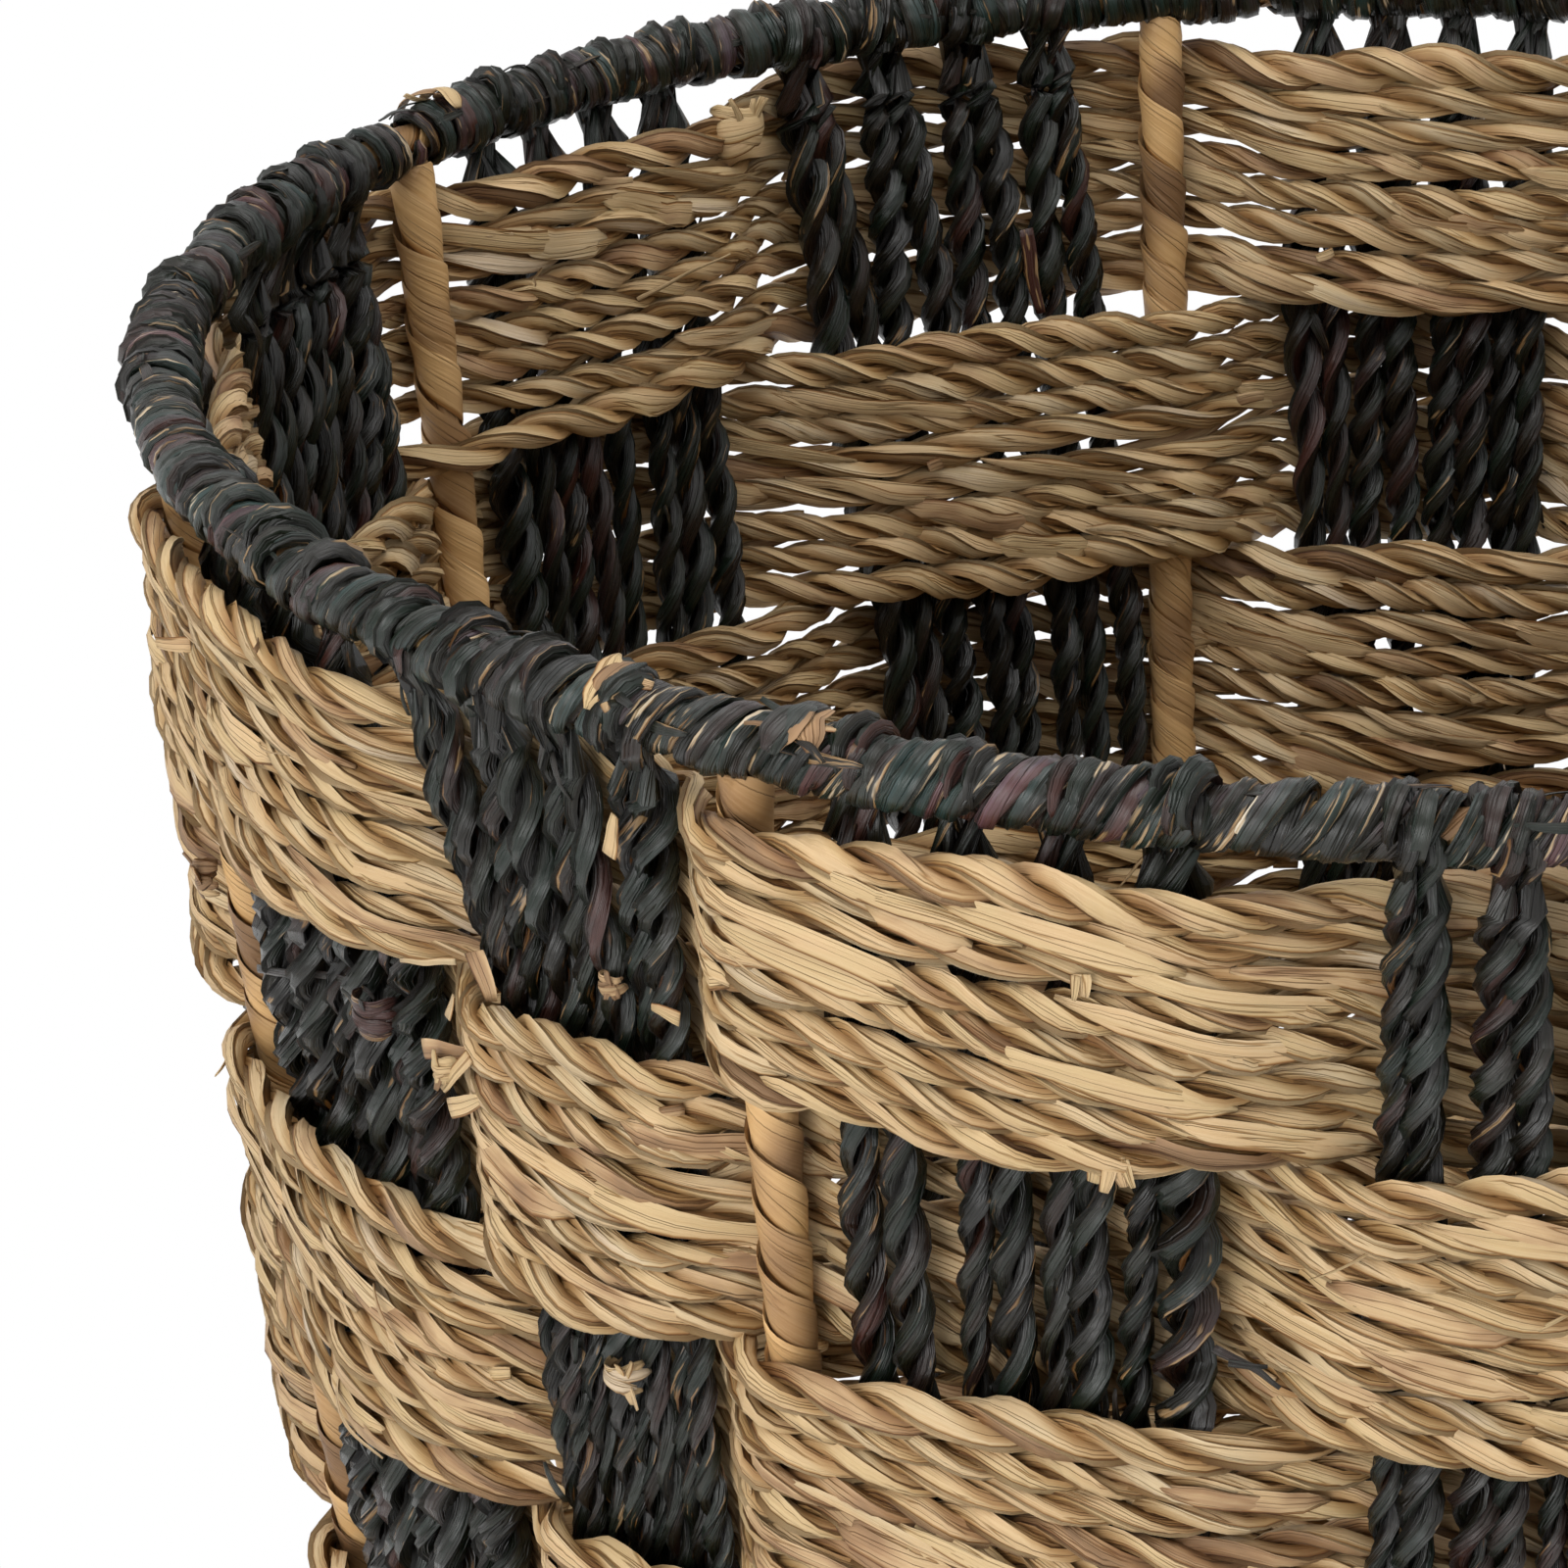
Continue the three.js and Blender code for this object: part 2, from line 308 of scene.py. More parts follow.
# Knots on the wall: degrees, height and lift off the wall in mm, shade (from DYED up: dyed) and size in mm
DYED = 1.5
DYED_SHADE = 2.0
WALL_KNOTS = (
    (201.7, 345.0, 4.0, 2.9, 4.2),
    (216.3, 301.5, 3.0, 0.6, 3.6),
    (218.0, 366.9, 3.2, -0.9, 2.3),
    (207.9, 343.5, 6.5, -0.1, 2.6),
    (178.6, 337.0, 4.5, -0.7, 3.4),
    (114.2, 397.0, -4.0, 0.3, 5.0),
    (60.0, 120.0, 4.0, 0.5, 3.6),
    (318.0, 215.0, 4.0, -0.5, 3.8),
    (12.0, 300.0, -4.0, 2.3, 4.0),
    (285.0, 345.0, 3.5, 0.4, 3.6),
)
# Knots on the rim: angle in degrees, shade and size in mm
RIM_KNOTS = (
    (219.0, -0.2, 6.4),
    (219.6, 2.1, 6.6),
    (227.8, 2.2, 6.7),
    (228.4, -0.5, 6.6),
    (132.6, -0.4, 6.3),
    (24.0, 2.2, 6.6),
    (301.0, 0.0, 6.3),
)
# Strays, stubs and frays, listed one by one: start and end as degrees and mm up, lift and width in mm, shade
STRAYS = (
    (187.0, 332.5, 202.0, 348.0, 4.6, 1.3, 2.3),
    (97.8, 372.0, 97.2, 357.0, -4.2, 2.6, 3.2),
    (221.6, 364.4, 220.2, 365.0, 4.4, 2.4, -0.3),
    (240.9, 358.0, 240.6, 353.6, 8.6, 3.0, -0.2),
    (241.4, 358.0, 241.2, 352.8, 9.2, 2.4, 0.2),
    (241.5, 358.0, 241.8, 353.6, 8.8, 3.2, -0.5),
    (241.9, 358.0, 242.3, 354.0, 9.3, 1.8, 0.0),
    (240.5, 386.8, 240.6, 383.4, 9.8, 3.0, 0.0),
    (240.3, 386.6, 240.2, 382.8, 10.1, 1.5, -0.3),
    (206.4, 344.6, 209.6, 348.2, 7.4, 3.2, -0.7),
    (208.0, 336.9, 210.8, 341.4, 8.0, 3.2, -0.1),
    (209.9, 347.6, 207.9, 340.6, 8.0, 2.2, -0.5),
    (209.6, 362.4, 205.9, 358.4, 7.4, 1.1, 0.3),
    (209.0, 353.0, 209.7, 357.4, 8.6, 1.6, 0.2),
    (209.6, 363.0, 210.5, 356.0, 3.9, 4.8, -0.5),
    (219.0, 388.2, 219.7, 395.6, 5.4, 2.8, 0.2),
    (245.4, 329.0, 248.2, 324.2, 8.4, 1.5, 2.6),
    (246.0, 327.0, 247.6, 326.4, 8.6, 1.2, 2.2),
    (192.4, 278.6, 193.7, 270.8, 8.6, 2.2, 2.4),
    (262.0, 340.0, 271.0, 352.0, 4.6, 1.0, 0.2),
)
STRAY_CURL = 0.1
STRAY_TIP = 0.6

# Flat map: room round each cell, size of an end in its cell, and columns for each row
MAP_EDGE = 0.04
MAP_END = 0.3
MAP_SHAPE = 6

# Patterns of a blade: how fast they change across it, along it and from blade to blade
LINES = (17.0, 0.5, 31.0)
PATCHES = (1.1, 0.8, 17.0)
FOLDS = (3.4, 0.26, 23.0)
DYE_PATCHES = (0.4, 0.35, 41.0)
DYE_STREAKS = (4.0, 1.5, 11.0)
FOLD_WIDTH = 0.022

# Parts of a blade by place across it: the tucked edge, given painted shade, and the lip, given a painted
# highlight; and parts of a cord by how deep they lie: painted shade on deep parts, a painted highlight on the
# outside of the rim's cords
EDGE_PLACES = (0.86, 0.97)
LIP_PLACES = (0.03, 0.2)
DEEP_PLACES = (0.25, 0.85)
PAINTED_SHEEN_PLACES = (-1.0, -0.4)
OUTER_PLACES = (-0.6, 0.0)
# Brightness of the painted highlight on a lip and on the outside of the rim's cords, and the power of the
# fine lines there
LIP_HIGHLIGHT = 1.05
PAINTED_SHEEN = 1.9
OUTER_LINES = 1.8

# Shade of fine lines and of gloss, and what a blade's tone and patches add to its place on the colour scale
LINE_DETAIL = 4.0
LINE_PLACES = (0.34, 0.62)
LINE_BRIGHTER = 0.25
GLOSS_PLACES = (0.3, 0.7)
GLOSS_ROUGHER = (-0.07, 0.1)
TONE_SHARE = 0.5
TONE_START = 0.15
PATCH_SHARE = 0.7

# Where the dye missed: at edges of blades, in patches, more on the outside of the rim; and how much shows
FLECK_EDGES = ((0.22, 0.46), -0.04, 0.06)
FLECK_PATCHES = 0.8
FLECK_DEPTH = (OUTER_PLACES, 0.02, -0.03)
FLECK_MIX = ((1.07, 1.13), 0.0, 0.9)

# Powers that turn a shade's green and blue: where fine lines and painted shade darken a blade it also turns
# warmer, as if lit by light bounced off the grass
WARMTH = (1.40, 2.02)

# Height of the relief of lines and folds
RELIEF = 0.4 * MM

# Camera at the photo's viewing angle
CAMERA_PLACE = (-0.3831, -1.3686, 0.8859)
CAMERA_TURN = (68.89, 0.0, -11.42)
CAMERA_ANGLE = 9.2453
CAMERA_CLIP = (0.01, 50)
SENSOR = 36.0

# Lamps: place and size. Floor: reach, corners, and the distances between which it turns to plain white
LAMP_ABOVE = ((-0.4, -0.2, 1.9), 1.4)
LAMP_FRONT = ((-1.55, -1.5, 0.4), 1.3)
FLOOR_REACH = 6.0
FLOOR_SIDES = 64
FLOOR_FADE = (0.20, 0.34)


def hoop_sizes(name):
    """Radius, height and wire radius of a hoop"""
    low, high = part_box(name)
    wire = (high.z - low.z) / 2
    return high.x - wire, (low.z + high.z) / 2, wire


def angle_span(name):
    """First and last angle of a node that is narrower than half a turn"""
    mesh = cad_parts[name].data
    points = np.zeros(len(mesh.vertices) * 3)
    mesh.vertices.foreach_get("co", points)
    x, y = points.reshape(-1, 3).T[:2]
    middle = math.atan2(y.mean(), x.mean()) % TAU
    offsets = (np.arctan2(y, x) - middle + math.pi) % TAU - math.pi
    return middle + offsets.min(), middle + offsets.max()


def half_size(name, axis):
    """Half the size of a node along an axis"""
    low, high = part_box(name)
    return (high[axis] - low[axis]) / 2


# Sizes that the frame gives
RIM_RADIUS, RIM_Z, RIM_WIRE = hoop_sizes("rim_hoop")
BASE_RADIUS, BASE_Z, BASE_WIRE = hoop_sizes("base_hoop")
LEAN = (RIM_RADIUS - BASE_RADIUS) / (RIM_Z - BASE_Z)
POST_RADIUS = half_size("post_1", 1)
RIM_COVER = half_size("rim_wrap_01", 2)
GROUP_SPANS = [angle_span(f"warp_group_{group + 1:02d}") for group in range(GROUPS)]
BAND_BOXES = [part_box(f"weft_band_{band + 1}") for band in range(BANDS)]
BAND_MIDDLES = [(low.z + high.z) / 2 for low, high in BAND_BOXES]
BAND_PITCH = (BAND_MIDDLES[0] - BAND_MIDDLES[-1]) / (BANDS - 1)
BAND_HEIGHT = BAND_BOXES[0][1].z - BAND_BOXES[0][0].z
DRAW_HEIGHTS = (RIM_Z, RIM_Z - 54 * MM, RIM_Z - 110 * MM, RIM_Z - 260 * MM, BASE_Z)


def length_setting(name, about, value):
    """A setting for a length"""
    return FloatProperty(name=name, description=about, default=value, subtype="DISTANCE", unit="LENGTH")


def share_setting(name, about, value, low, high):
    """A setting for a share of something"""
    return FloatProperty(name=name, description=about, default=value, min=low, max=high)


def count_setting(name, about, value, least=0):
    """A setting for a number of things"""
    return IntProperty(name=name, description=about, default=value, min=least)


def power_setting(name, about, value):
    """A setting for the power of a lamp"""
    return FloatProperty(name=name, description=about, default=value, unit="POWER")


def colour_setting(name, about, value):
    """A setting for a colour"""
    return FloatVectorProperty(name=name, description=about, default=value, subtype="COLOR")


class WeftSettings(bpy.types.PropertyGroup):
    """Natural bands that go round the wall"""

    rows: count_setting("Rows", "Rows of cord in one band", 8, 1)
    cord: length_setting("Cord", "Width of one row of cord", 6.5 * MM)
    edge_row: share_setting("Edge row", "Width of the first and last row, in cords", 1.14, 0.5, 2)
    slim: share_setting("Slim", "Width of a cord beside a post as a share of its full width", 0.90, 0.5, 1)
    flatness: share_setting("Flatness", "Depth of a cord as a share of its width", 0.74, 0.3, 1.2)
    twist: length_setting("Twist", "Length of one full twist", 27 * MM)
    step: length_setting("Step", "Length of one facet", 2.4 * MM)
    at_group: length_setting("At a group", "Distance of a band from the wall's middle at a group", 6.1 * MM)
    at_post: length_setting("At a post", "Distance of a band from the wall's middle at a post", 6.85 * MM)
    stray: length_setting("Stray", "How far a row wanders up and down", 0.85 * MM)
    swell: length_setting("Swell", "How much further a band stands off in the middle of a run", 1.8 * MM)
    straw: colour_setting("Straw", "Main colour of the grass", (0.590, 0.410, 0.222))
    shadow: colour_setting("Brown", "Colour of the old blades", (0.34, 0.200, 0.100))
    bleached: colour_setting("Pale", "Colour of the bleached blades", (0.565, 0.440, 0.300))


class WarpSettings(bpy.types.PropertyGroup):
    """Dark groups of cords that stand in the wall"""

    cords: count_setting("Cords", "Cords in one group", 8, 1)
    fullness: share_setting("Fullness", "Width of a cord as a share of its room", 1.0, 0.5, 1.5)
    twist: length_setting("Twist", "Length of one full twist", 18.5 * MM)
    step: length_setting("Step", "Length of one facet", 2.1 * MM)
    spread: length_setting("Spread", "Length over which the two cords of one hitch draw apart", 46 * MM)
    relief: length_setting("Relief", "How far every other cord stands forward, and the rest back", 0.65 * MM)
    bow: length_setting("Bow", "How far a cord bows out in the windows between the bands", 1.0 * MM)
    dye: colour_setting("Dye", "Main colour of the dyed grass", (0.0088, 0.0075, 0.0042))
    plum: colour_setting("Plum", "Colour of the red-brown blades", (0.034, 0.0165, 0.0140))
    teal: colour_setting("Teal", "Colour of the green-blue blades", (0.0057, 0.0126, 0.0078))
    undyed: colour_setting("Undyed", "Colour where the dye missed", (0.30, 0.19, 0.09))


class RimSettings(bpy.types.PropertyGroup):
    """Dark winding on the rim"""

    pitch: length_setting("Pitch", "Length of rim that one turn covers", 4.9 * MM)
    cord: length_setting("Cord", "Width of the winding cord", 5.9 * MM)
    flatness: share_setting("Flatness", "Depth of the cord as a share of its width", 0.5, 0.2, 1.2)
    twist: length_setting("Twist", "Length of one full twist", 62 * MM)
    step: length_setting("Step", "Length of one facet", 2.0 * MM)
    slant: length_setting("Slant", "How far a turn leans along the rim", 2.0 * MM)
    lap: length_setting("Lap", "How far two windings run into each other", 1.0 * MM)
    bare: length_setting("Bare", "Length of rim left bare beside a bare spot", 1.4 * MM)


class WireSettings(bpy.types.PropertyGroup):
    """Ribbon wound round the posts, hoops and base wires"""

    ribbon: length_setting("Ribbon", "Length of wire that one ribbon covers in a turn", 9.0 * MM)
    thick: length_setting("Thickness", "Half the thickness of the ribbon", 0.35 * MM)
    lap: length_setting("Lap", "Height of the lapped edge", 1.3 * MM)
    overlap: length_setting("Overlap", "How far a turn reaches over the next", 0.6 * MM)
    turn_steps: count_setting("Steps", "Facets in one turn of ribbon", 22, 6)
    step: length_setting("Step", "Length of one facet of wire", 4.0 * MM)
    ribbon_colour: colour_setting("Ribbon colour", "Main colour of the ribbon", (0.60, 0.385, 0.185))


class TrimSettings(bpy.types.PropertyGroup):
    """Loose ends"""

    ends: count_setting("Ends", "Loose ends on one weft band", 56)
    dark_ends: count_setting("Dark ends", "Loose ends on one warp group", 16)
    rim_ends: count_setting("Rim ends", "Loose ends on the rim", 90)
    laid: length_setting("Laid blades", "Length of band between two blades laid over its rows", 8 * MM)


class StageSettings(bpy.types.PropertyGroup):
    """Floor, lamps and camera"""

    key: power_setting("Key", "Power of the lamp above", 16.5)
    fill: power_setting("Fill", "Power of the lamp in front", 24.0)
    world: FloatProperty(name="World", description="Strength of the even light", default=0.80, min=0)
    floor_colour: colour_setting("Floor", "Colour of the floor", (0.86, 0.86, 0.86))


def settings(name):
    """One of the groups of settings on the scene"""
    return getattr(bpy.context.scene, name)


def random_numbers(kind, number=0):
    """The random numbers of one piece of a kind"""
    return np.random.default_rng(SEEDS[kind] + number)


def either_way(rng, amount):
    """A random number up to an amount above or below nothing"""
    return amount * rng.uniform(-1, 1)


def drawn(rng, value):
    """A number, drawn at random where a range is given"""
    return rng.uniform(*value) if isinstance(value, tuple) else value


def ramp_noise(rng, count, knots):
    """Random numbers from -1 to 1 that change smoothly over count points"""
    knots = max(int(knots), 1)
    values = rng.uniform(-1, 1, knots + 1)
    place = np.linspace(0, knots, count)
    low = np.minimum(place.astype(int), knots - 1)
    part = place - low
    part = part * part * (3 - 2 * part)
    return values[low] * (1 - part) + values[low + 1] * part


def wander(rng, count, length, kind):
    """Random numbers that change smoothly along a length"""
    amount, wave = kind
    return amount * ramp_noise(rng, count, length / wave)


def wobble(rng, count, kind, turns=1):
    """Random numbers that change so often in each turn"""
    amount, changes = kind
    return amount * ramp_noise(rng, count, turns * changes)


def unit(vectors):
    """The same directions with a length of one"""
    return vectors / np.linalg.norm(vectors, axis=-1, keepdims=True)


def run_of(path):
    """Length along a path at each of its points"""
    steps = np.linalg.norm(np.diff(path, axis=0), axis=1)
    return np.concatenate([[0.0], np.cumsum(steps)])


def on_wall(angle, radius, z):
    """Points given by angle, radius and height"""
    angle, radius, z = np.broadcast_arrays(angle, radius, z)
    return np.stack([radius * np.cos(angle), radius * np.sin(angle), z], axis=-1)


def outward(angle):
    """Unit vectors away from the basket's axis"""
    return on_wall(angle, 1.0, 0.0)


def round_wall(angle):
    """Unit vector the way round the basket"""
    return np.array([-math.sin(angle), math.cos(angle), 0.0])


def wall_radius(z):
    """Radius of the wall's middle at a height"""
    return BASE_RADIUS + LEAN * (z - BASE_Z)


def on_face(angle, z, lift):
    """A place on the wall's face, its outward direction and the way up"""
    away = outward(angle)
    return on_wall(angle, wall_radius(z) + lift, z), away, unit(away * LEAN + UP)


def group_edges(group, z):
    """First and last angle of a group as it hangs, at a height: a little aside of its place in the frame"""
    rng = random_numbers("draws", group)
    draws = np.array(GROUP_DRAWS.get(group, rng.uniform(-DRAW_WANDER, DRAW_WANDER, (3, 2))), float)
    draws = np.concatenate([draws, draws[-1:], np.zeros((1, 2))])[::-1]
    heights = DRAW_HEIGHTS[::-1]
    return [
        angle + np.interp(z, heights, draws[:, edge]) * MM / wall_radius(z)
        for edge, angle in enumerate(GROUP_SPANS[group])
    ]


class Bundle:
    """Strands with closed ends, kept as one mesh. Each strand is a run of rings of points."""

    def __init__(self, sides, sharp=()):
        self.sides, self.sharp = sides, sharp
        self.rings, self.blade, self.tone, self.core = [], [], [], []

    def add(self, rings, blade, tone, core=0.0):
        """One strand: its rings, where each point lies on its blade, its shade and how deep it lies"""
        shape = rings.shape[:2]
        self.rings.append(rings)
        self.blade.append(blade)
        self.tone.append(np.broadcast_to(tone, shape))
        self.core.append(np.broadcast_to(core, shape))

    def faces(self):
        """Quads of every strand, and one face with as many corners as sides on each end"""
        quads, ends, first = [], [], 0
        side = np.arange(self.sides)
        after = (side + 1) % self.sides
        for ring in self.rings:
            row = first + np.arange(len(ring) - 1)[:, None] * self.sides
            last = first + (len(ring) - 1) * self.sides
            corners = [row + side, row + after, row + self.sides + after, row + self.sides + side]
            quads.append(np.stack(corners, axis=-1).reshape(-1, 4))
            ends.extend([first + side[::-1], last + side])
            first = last + self.sides
        return np.concatenate(quads), np.array(ends)

    def flat_map(self, quads, ends):
        """A place on the unit square for each corner: strands side by side in rows, with no overlap"""
        strips = len(quads) // self.sides
        cells = strips + len(ends)
        rows = max(1, int(math.sqrt(cells / MAP_SHAPE)))
        columns = -(-cells // rows)
        index = np.repeat(np.arange(strips), self.sides)
        side = np.tile(np.arange(self.sides), strips)
        left, row = index % columns, index // columns
        reach = (1 - 2 * MAP_EDGE) / self.sides
        low = MAP_EDGE + side * reach
        u = np.stack([left, left, left + 1, left + 1], axis=-1) / columns
        v = (row[:, None] + np.stack([low, low + reach, low + reach, low], axis=-1)) / rows
        cell = strips + np.arange(len(ends))
        turn = TAU * np.arange(self.sides) / self.sides
        end_u = (cell[:, None] % columns + 0.5 + MAP_END * np.cos(turn)) / columns
        end_v = (cell[:, None] // columns + 0.5 + MAP_END * np.sin(turn)) / rows
        return np.concatenate([np.stack(pair, -1).reshape(-1, 2) for pair in ((u, v), (end_u, end_v))])

    def mesh(self, name):
        """The strands as a Blender mesh, with what the materials read"""
        quads, ends = self.faces()
        made = bpy.data.meshes.new(name)
        points = np.concatenate([ring.reshape(-1, 3) for ring in self.rings])
        made.vertices.add(len(points))
        made.vertices.foreach_set("co", points.astype(np.float32).ravel())
        corners = np.concatenate([quads.ravel(), ends.ravel()])
        made.loops.add(len(corners))
        made.loops.foreach_set("vertex_index", corners.astype(np.int32))
        starts = np.concatenate([np.arange(len(quads)) * 4, quads.size + np.arange(len(ends)) * self.sides])
        made.polygons.add(len(starts))
        made.polygons.foreach_set("loop_start", starts.astype(np.int32))
        made.polygons.foreach_set("use_smooth", np.ones(len(starts), bool))
        made.update(calc_edges=True)
        flat = made.uv_layers.new(name="OFBake")
        flat.data.foreach_set("uv", self.flat_map(quads, ends).astype(np.float32).ravel())
        layers = (
            ("blade", "FLOAT_VECTOR", "vector", self.blade),
            ("tone", "FLOAT", "value", self.tone),
            ("core", "FLOAT", "value", self.core),
        )
        for layer, kind, field, strands in layers:
            values = np.concatenate([strand.ravel() for strand in strands])
            made.attributes.new(layer, kind, "POINT").data.foreach_set(field, values.astype(np.float32))
        pairs = np.zeros(len(made.edges) * 2, np.int32)
        made.edges.foreach_get("vertices", pairs)
        column = pairs.reshape(-1, 2) % self.sides
        sharp = (column[:, 0] == column[:, 1]) & np.isin(column[:, 0], self.sharp)
        made.attributes.new("sharp_edge", "BOOLEAN", "EDGE").data.foreach_set("value", sharp)
        return made


def add_piece(name, bundle, material, slot, *replaced):
    """Puts a bundle in the scene as a piece that rides on the basket"""
    piece = bpy.data.objects.new(name, bundle.mesh(name))
    piece.data.materials.append(material)
    bpy.context.scene.collection.objects.link(piece)
    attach(piece, BODY)
    if replaced:
        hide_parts(*replaced)


def frame_of(path, out):
    """Unit vectors across a path: away from what it lies on, and to its side"""
    along = unit(np.gradient(path, axis=0))
    out = unit(out - along * (out * along).sum(-1, keepdims=True))
    return out, np.cross(along, out)


def rolled(out, side, roll):
    """The same two vectors after a roll about the path"""
    return out * np.cos(roll) + side * np.sin(roll), side * np.cos(roll) - out * np.sin(roll)


def add_oval(bundle, rng, path, out, side, depth, width, tone):
    """A strand with an oval section that reaches depth along out and width along side"""
    count = len(path)
    turn = np.linspace(0, TAU, bundle.sides, endpoint=False)
    depth = np.broadcast_to(depth, count)[:, None, None]
    width = np.broadcast_to(width, count)[:, None, None]
    cosine, sine = np.cos(turn)[None, :, None], np.sin(turn)[None, :, None]
    ring = out[:, None] * cosine * depth + side[:, None] * sine * width
    run = run_of(path)[:, None] / RUN_UNIT + rng.uniform(0, PATTERN_STARTS)
    run = np.broadcast_to(run, (count, bundle.sides))
    place = np.broadcast_to(0.5 + 0.5 * np.sin(turn), run.shape)
    seed = np.full(run.shape, rng.uniform(0, PATTERN_SEEDS))
    bundle.add(path[:, None] + ring, np.stack([place, run, seed], -1), np.broadcast_to(tone, count)[:, None])


def add_ply(bundle, rng, path, away, across, depth, breadth, tone, painted_sheen_and_flecks):
    """One ply of a cord: flat blades lapped round each other, each with a lip and a tucked edge"""
    count, run = len(path), run_of(path)
    points = len(BLADE_PLACES)
    first = TAU * np.cumsum(rng.permutation(BLADE_SHARES)) + rng.uniform(0, TAU)
    first = first + rng.uniform(-BLADE_START, BLADE_START, BLADES)
    start = first - PLY_LAY * (run / RUN_UNIT)[:, None]
    start = start + np.stack([wander(rng, count, run[-1], BLADE_WANDER) for _ in range(BLADES)], axis=1)
    end = np.concatenate([start[:, 1:], start[:, :1] + TAU], axis=1)
    angle = start[..., None] + (end - start)[..., None] * BLADE_PLACES
    lift = np.stack([LIP * (1 + wander(rng, count, run[-1], LIP_WANDER)) for _ in range(BLADES)], axis=1)
    reach = 1 + lift[..., None] * (0.5 - BLADE_PLACES)
    angle, reach = angle.reshape(count, -1), reach.reshape(count, -1)
    ring = away[:, None] * (np.cos(angle) * reach * depth[:, None])[..., None]
    ring = ring + across[:, None] * (np.sin(angle) * reach * breadth[:, None])[..., None]
    seeds = np.repeat(rng.uniform(0, PATTERN_SEEDS, BLADES), points)
    places = np.tile(BLADE_PLACES, BLADES)
    runs = run[:, None] / RUN_UNIT + np.repeat(rng.uniform(0, PATTERN_STARTS, BLADES), points)
    blade = np.stack([np.broadcast_to(places, angle.shape), runs, np.broadcast_to(seeds, angle.shape)], -1)
    tones = [either_way(rng, BLADE_SHADE) + wander(rng, count, run[-1], BLADE_TONES) for _ in range(BLADES)]
    tones = np.repeat(np.stack(tones, axis=1), points, axis=1) + tone
    # core: how deep a point lies in the cord, read for painted shade; the rim's cords are shifted below
    # nothing, for a painted highlight, more tan flecks and stronger lines on their outside
    bundle.add(path[:, None] + ring, blade, tones, 0.5 - 0.5 * np.cos(angle) - painted_sheen_and_flecks)


def add_cord(bundle, rng, path, out, width, twist, flatness, tone=0.0, shape=FLAT_CORD, painted_sheen_and_flecks=0.0):
    """Two plies twisted round each other along a path"""
    count, run = len(path), run_of(path)
    out, side = frame_of(path, out)
    turn = rng.uniform(0, TAU) + TAU * run / twist + wander(rng, count, run[-1], TWIST_WANDER)
    near_end = np.minimum(run, run[-1] - run)
    taper = np.sqrt(np.clip(near_end / END_TAPER, TAPER_LEAST, 1))
    for ply in range(2):
        angle = (turn + ply * math.pi)[:, None]
        away = flatness * np.cos(angle) * out + np.sin(angle) * side
        across = -flatness * np.sin(angle) * out + np.cos(angle) * side
        offset, depth, breadth = (
            width * share * (1 + wander(rng, count, run[-1], LUMPS)) * taper for share in shape
        )
        shade = tone + either_way(rng, PLY_SHADE)
        add_ply(bundle, rng, path + away * offset[:, None], away, across, depth, breadth, shade, painted_sheen_and_flecks)


def weft_wave(band, row=0):
    """Tables over the whole turn: angle, how far a row stands off the wall's middle, and its band's swell"""
    weft = settings("basket_weft")
    side = 1 if band % 2 == 0 else -1
    post_half = POST_REST / BASE_RADIUS
    stations = []
    for post in range(POSTS):
        turn = post * BAY
        post_side = 1 if (band, post) == SLIPPED_POST else side
        if (band, post, row) == SLIPPED_ROW:
            post_side = -side
        at_post = weft.at_post * post_side
        stations += [(turn - post_half, at_post, 0), (turn + post_half, at_post, 0)]
        for group, group_side in ((2 * post, side), (2 * post + 1, -side)):
            first, last = group_edges(group, BAND_MIDDLES[band])
            away = weft.at_group * group_side
            crown = away + weft.swell * group_side
            stations += [(first, away, 0), ((first + last) / 2, crown, 1), (last, away, 0)]
    angles, *columns = np.array(sorted((angle % TAU, off, swell) for angle, off, swell in stations)).T
    fine = np.linspace(0, TAU, WAVE_STEPS, endpoint=False)
    ends = 3 * WAVE_BLUR
    kernel = np.exp(-0.5 * (np.arange(-ends, ends + 1) / WAVE_BLUR) ** 2)
    kernel /= kernel.sum()
    tables = [fine]
    for values in columns:
        table = np.interp(fine, angles, values, period=TAU)
        tables.append(np.convolve(np.concatenate([table[-ends:], table, table[:ends]]), kernel, mode="valid"))
    return tables


def weft_path(band, row, angle, wave, extra):
    """Points of a row at given angles, further out by extra; a band is taller in the middle of a run"""
    weft = settings("basket_weft")
    fine, offsets, swells = wave
    offset = np.interp(angle, fine, offsets, period=TAU)
    swell = np.interp(angle, fine, swells, period=TAU)
    tight, full = BAND_PITCH / weft.rows, BAND_HEIGHT / weft.rows
    z = BAND_MIDDLES[band] - (row - (weft.rows - 1) / 2) * (tight + (full - tight) * swell)
    return on_wall(angle, wall_radius(z) + offset + extra, z)


